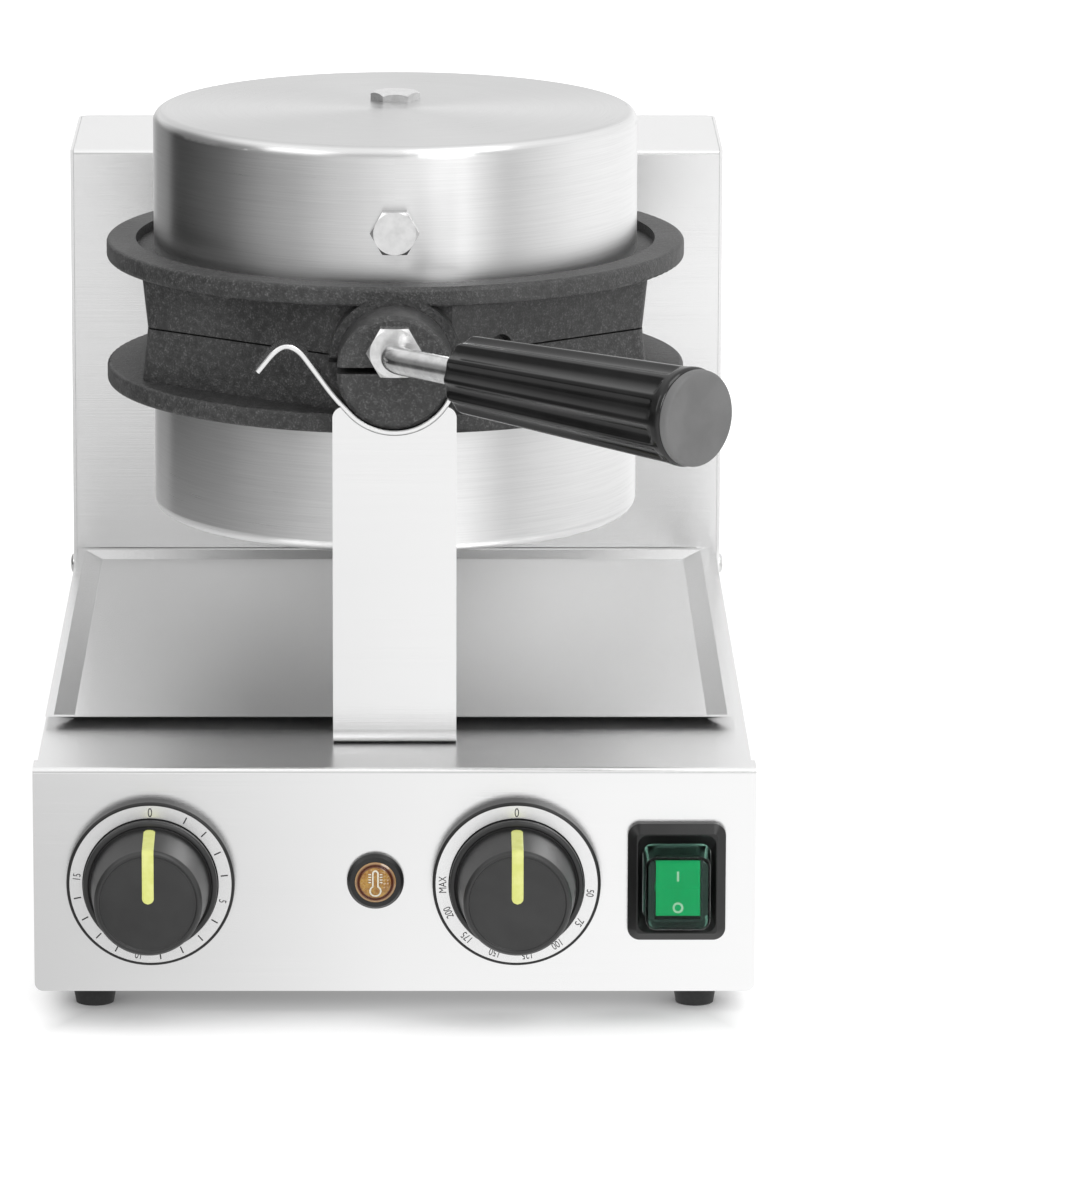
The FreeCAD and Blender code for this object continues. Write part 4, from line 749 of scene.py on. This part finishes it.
# on and off marks: an upright bar, and a flat ring whose four-sided section goes once round
def makeRockerMarks():
    plate, barFaces = barPlate()
    width, tall = rocker["bar"]
    along = rocker["barAt"] + plate[:, 1] * tall
    bar = onRocker(plate[:, 0] * width, along, markLift(plate[:, 2] > 0, rocker))
    inner, outer = rocker["ring"]
    reach = np.array([inner, outer, outer, inner])
    angle = roundAngles(rocker["ringSteps"])[:, None]
    along = rocker["ringAt"] + reach * np.cos(angle)
    ring = onRocker(reach * np.sin(angle), along, markLift(bandTop, rocker)).reshape(-1, 3)
    ringFaces = gridFaces(len(angle), len(reach), True)
    makePiece("rocker_marks", *joined([(bar, barFaces), (ring, ringFaces)]), "rocker",
              "pale_plastic", finish=printCream)


liner = {
    "thick": 1.6, "bevel": 0.35, "right": -25.0, "left": -137.7, "straight": 8.0,
    "tongue": (-36.9, 35.1), "tip": (-47.4, 22.2),  # to the right of the axis, above the notch
    "cuts": (4.0, 10.0), "notchSteps": 90, "bendSteps": 24, "rows": 260, "sharp": 30.0,
}


# saddle liner: a flat strip carried round the notch, up in a tongue and over in a round hook
def makeLiner():
    low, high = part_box("saddle_liner")
    shaftLow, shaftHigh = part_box("trunnion_shaft")
    axisZ = (shaftLow.z + shaftHigh.z) / 2 / mm
    outer, half = axisZ - low.z / mm, liner["thick"] / 2
    turn = np.radians(np.linspace(liner["right"], liner["left"], liner["notchSteps"]))
    notch = (outer - half) * np.stack([np.cos(turn), np.sin(turn)], -1)
    leaving = notch[-1] - notch[-2]
    leaving *= liner["straight"] / np.linalg.norm(leaving)
    corners = [notch[-1], notch[-1] + leaving]
    corners += [np.add(liner[key], (0.0, -outer)) for key in ("tongue", "tip")]
    tongue = softCorners(corners, liner["cuts"], liner["bendSteps"])
    line, _ = evenLine(np.concatenate([notch[:-1], tongue]), liner["rows"])
    heading = unit(np.gradient(line, axis=0))
    side = np.stack([heading[:, 1], -heading[:, 0]], -1)
    front, rear, cut = low.y / mm, high.y / mm, liner["bevel"]
    across = np.array([-half + cut, half - cut, half, half, half - cut, -half + cut, -half, -half])
    depth = np.array([front, front, front + cut, rear - cut, rear, rear, rear - cut, front + cut])
    x = line[:, :1] + side[:, :1] * across
    z = line[:, 1:] + side[:, 1:] * across + axisZ
    spots = np.stack([x, depth + 0 * x, z], -1) * mm
    sides = len(across)
    ends = [(np.arange(sides) + sides * row).tolist() for row in (0, len(line) - 1)]
    makePiece("hooked_liner", spots, gridFaces(len(line), sides) + ends, "base", "stainless",
              ("saddle_liner",), sharp=liner["sharp"])


# lengths in millimetres; along is from front to back, level is above the floor
screws = {
    "rows": 26, "columns": 72, "dome": 0.25, "shoulder": 0.35, "roundness": 12,
    "arm": (0.5, 2.1), "slope": 0.3, "deep": 1.1, "sharp": 40.0,
    "cover_screws": {"radius": 3.8, "height": 2.0,
                     "beside": 95.0, "back": 255.47, "levels": (17.2, 238.6),
                     "edge": 125.0, "along": (190.47, 237.47), "sideLevel": 80.6},
    "stand_screws": {"radius": 4.5, "height": 2.6, "beside": 12.0, "along": -120.39, "level": 90.1},
}


# each head's place, the way it faces and the way its cross points: four behind, two on each side
def coverHeads():
    sizes = screws["cover_screws"]
    heads = [((x, sizes["back"], z), (0, 1, 0), (0, 0, 1))
             for z in sizes["levels"] for x in (-sizes["beside"], sizes["beside"])]
    return heads + [((flip * sizes["edge"], y, sizes["sideLevel"]), (flip, 0, 0), (0, 0, 1))
                    for flip in (-1, 1) for y in sizes["along"]]


# the same for the two screws that face up from the stand's foot
def standHeads():
    sizes = screws["stand_screws"]
    return [((x, sizes["along"], sizes["level"]), (0, 0, 1), (0, 1, 0))
            for x in (-sizes["beside"], sizes["beside"])]


# screw heads: a low dome with a round shoulder, less a cross of two bars with sloping sides
def makeScrews(node, heads):
    sizes = screws[node]
    ratio = np.concatenate([np.linspace(0.0, 1.0, screws["rows"]), [1.0, 0.0]])[:, None]
    angle = roundAngles(screws["columns"])
    right, up = (sizes["radius"] * ratio * way for way in (np.cos(angle), np.sin(angle)))
    width, length = screws["arm"]
    bars = [ramp(width - np.abs(a), 0.0, screws["slope"]) *
            ramp(length - np.abs(b), 0.0, screws["slope"]) for a, b in ((right, up), (up, right))]
    fall = screws["dome"] * ratio ** 2 + screws["shoulder"] * ratio ** screws["roundness"]
    out = sizes["height"] * (1 - fall) - screws["deep"] * np.maximum(*bars)
    out[-2:] = 0.0
    faces = gridFaces(len(ratio), screws["columns"])
    parts = []
    for place, facing, pointing in heads:
        beside = np.cross(pointing, facing)
        spots = np.array(place) + sum(way[..., None] * np.array(toward) for way, toward in (
            (right, beside), (up, pointing), (out, facing)))
        parts.append((spots.reshape(-1, 3) * mm, faces))
    makePiece(node + "_heads", *joined(parts), "base", "fastener_steel", (node,),
              sharp=screws["sharp"])


for name in ("timer", "thermostat"):
    makeKnob(name)
    makePointer(name)
    makeScale(name)
makeGrip()
makeCap()
makeLens()
makeSign()
makeRockerMarks()
makeLiner()
makeScrews("cover_screws", coverHeads())
makeScrews("stand_screws", standHeads())
print("pieces made")


# lengths in metres; tones are brightness, 1 being white
studio = {
    "floorHalf": 15.0, "headY": -0.0103, "gain": 1.12,
    "soft": 0.86,  # the room's tone for soft light
    "paper": 0.97, "shade": 0.60, "shadeReach": (-0.025, 0.03),  # shade: the floor's tone beneath the base, a painted shadow
    "sideInset": 0.017, "sideSpeed": 2.0,  # the painted shadow ends further in and faster at the sides
    "seenGlow": 1.5, "seenShare": 0.40, "seenReach": (0.0, 0.05),  # what whitens it beside the base
    "whiteReach": (0.45, 1.1), "throughShare": 0.8,
    # brightness mirrored from the floor close by, by distance to the right
    "near": [(-0.25, 0.58), (-0.13, 0.66), (-0.06, 0.80), (0.0, 0.97), (0.13, 1.08), (0.20, 1.10),
             (0.34, 0.80), (0.60, 0.66)],
    # the same from far floor and horizon, by azimuth from the front in turns: left is negative
    "far": [(-0.5, 1.03), (-0.43, 0.30), (-0.37, 0.22), (-0.36, 0.02), (-0.31, 0.02),
            (-0.27, 0.04), (-0.235, 0.07), (-0.205, 0.17), (-0.128, 0.32), (-0.10, 0.50),
            (-0.08, 0.68), (-0.05, 0.78), (-0.02, 0.95), (0.02, 1.04), (0.07, 1.10), (0.11, 0.95),
            (0.146, 0.62), (0.19, 0.85), (0.25, 1.05), (0.30, 1.08), (0.5, 1.03)],
    # the same from the room above the horizon, darker behind the camera
    "room": [(-0.5, 0.92), (-0.43, 0.78), (-0.36, 0.20), (-0.22, 0.26), (-0.10, 0.48), (0.0, 0.52),
             (0.10, 0.54), (0.18, 0.70), (0.28, 1.0), (0.40, 0.98), (0.5, 0.92)],
    "farFrom": (0.5, 0.9), "roomFrom": (0.06, 0.16), "skyFrom": (0.4, 0.8),
}


# a tone that the gain brings back to its brightness
def lightTone(tone):
    return grey(tone / studio["gain"])


# a ramp over stops given with their own span
def toneRamp(value, stops):
    low, high = stops[0][0], stops[-1][0]
    scaled = [((spot - low) / (high - low), lightTone(tone)) for spot, tone in stops]
    return value.node("ValToRGB", {"stops": scaled}, {"Fac": (value - low) / (high - low)})


# the same by azimuth: the angle from south towards east, in turns
def roundTone(east, south, stops):
    return toneRamp(east.maths("ARCTAN2", east, south) / (2 * math.pi), stops)


# 1 for a ray of that kind, else 0: seen by the camera, mirrored, and through something clear
def rayKinds(start):
    kinds = ("Is Camera Ray", "Is Glossy Ray", "Is Transmission Ray")
    return [start.node("LightPath", {}, {}, kind) for kind in kinds]


# how far a floor point lies outside the base: the larger of its ways past the sides and the ends
def besideBase(x, y):
    low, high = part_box("base_shell")[0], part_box("rear_cover")[1]
    past = (x.size() - (high.x - studio["sideInset"])) * studio["sideSpeed"]
    beyond = (y - (low.y + high.y) / 2).size() - (high.y - low.y) / 2
    return past.maths("MAXIMUM", past, beyond)


# pale floor: white to the camera, with a shadow kept by the base and a painted shadow on the paper
# beneath it, and toned for what mirrors it
def makeFloor():
    half = studio["floorHalf"]
    corners = [(-half, -half, 0), (half, -half, 0), (half, half, 0), (-half, half, 0)]
    mesh = bpy.data.meshes.new("floor")
    mesh.from_pydata(corners, [], [(0, 1, 2, 3)])
    floor = bpy.data.objects.new("floor", mesh)
    bpy.context.scene.collection.objects.link(floor)
    material = bpy.data.materials.new("floorPaper")
    material.use_nodes = True
    tree = material.node_tree
    tree.nodes.remove(tree.nodes["Principled BSDF"])
    start = Shade(tree)
    place = start.node("TexCoord", {}, {}, "Object")
    isCamera, isGlossy, isThrough = rayKinds(start)
    x, south = place.axis("X"), studio["headY"] - place.axis("Y")
    reach, off = x.hypot(south), besideBase(x, place.axis("Y"))
    near, far = toneRamp(x, studio["near"]), roundTone(x, south, studio["far"])
    mirrored = reach.ease(*studio["farFrom"]).blend(near, far)
    seen = isGlossy.blend(lightTone(studio["seenGlow"]), mirrored)
    glow = start.node("Emission", {}, {"Color": seen, "Strength": studio["gain"]})
    # painted shadow: the paper's colour turns darker beneath and just around the base
    paintedShadow = 1.0 - off.ease(*studio["shadeReach"])
    colour = paintedShadow.blend(grey(studio["paper"]), grey(studio["shade"]))
    paper = start.node("BsdfDiffuse", {}, {"Color": colour})
    white = reach.ease(*studio["whiteReach"])
    beside = off.ease(*studio["seenReach"]) * studio["seenShare"]
    share = isCamera * (white + (1.0 - white) * beside) + isGlossy
    share = (share + isThrough * studio["throughShare"]).capped()
    mixed = start.node("MixShader", {}, {0: share, 1: paper, 2: glow})
    tree.links.new(mixed.socket, tree.nodes["Material Output"].inputs["Surface"])
    mesh.materials.append(material)


# the room: white to the camera and through the boot, plain for soft light, and for mirrors toned
# by azimuth up to where the white sky begins
def makeWorld():
    world = bpy.data.worlds.new("studio")
    bpy.context.scene.world = world
    world.use_nodes = True
    tree = world.node_tree
    start = Shade(tree)
    heading = start.node("TexCoord", {}, {}, "Generated")
    isCamera, isGlossy, isThrough = rayKinds(start)
    east, south, rise = heading.axis("X"), 0.0 - heading.axis("Y"), heading.axis("Z")
    edge, room = (roundTone(east, south, studio[key]) for key in ("far", "room"))
    walls = rise.ease(*studio["roomFrom"]).blend(edge, room)
    mirrored = rise.ease(*studio["skyFrom"]).blend(walls, lightTone(1.0))
    level = isGlossy.blend(lightTone(studio["soft"]), mirrored)
    light = (isCamera + isThrough).capped().blend(level, lightTone(1.0))
    tree.links.new(light.socket, tree.nodes["Background"].inputs["Color"])
    tree.nodes["Background"].inputs["Strength"].default_value = studio["gain"]


lamps = {
    "keyLamp": {"place": (1.0, -2.2, 1.1), "size": 0.8, "power": 10.0},
    "topLamp": {"place": (0.9, -0.9, 2.2), "size": 1.2, "power": 10.0},
    "fillLamp": {"place": (-1.7, -1.4, 1.5), "size": 1.4, "power": 7.0},
}
lampAim = Vector((0.0, 0.0, 0.15))


# square lamps, each turned from its place towards one point on the machine
def makeLamps():
    for name, lamp in lamps.items():
        light = bpy.data.lights.new(name, "AREA")
        light.size, light.energy = lamp["size"], lamp["power"]
        item = bpy.data.objects.new(name, light)
        bpy.context.scene.collection.objects.link(item)
        item.location = lamp["place"]
        toward = lampAim - Vector(lamp["place"])
        item.rotation_euler = toward.to_track_quat("-Z", "Y").to_euler()


view = {"place": (0.0071, -2.80704, 0.7446), "lens": 236.28, "shift": 0.1033, "pitch": 77.24}


# a long lens in front, tipped down and shifted sideways
def makeCamera():
    data = bpy.data.cameras.new("camera")
    data.lens, data.shift_x = view["lens"], view["shift"]
    camera = bpy.data.objects.new("camera", data)
    bpy.context.scene.collection.objects.link(camera)
    camera.location = view["place"]
    camera.rotation_euler = (math.radians(view["pitch"]), 0.0, 0.0)
    bpy.context.scene.camera = camera


makeFloor()
makeWorld()
makeLamps()
makeCamera()
bpy.context.scene.view_settings.view_transform = "Standard"
print("studio set")
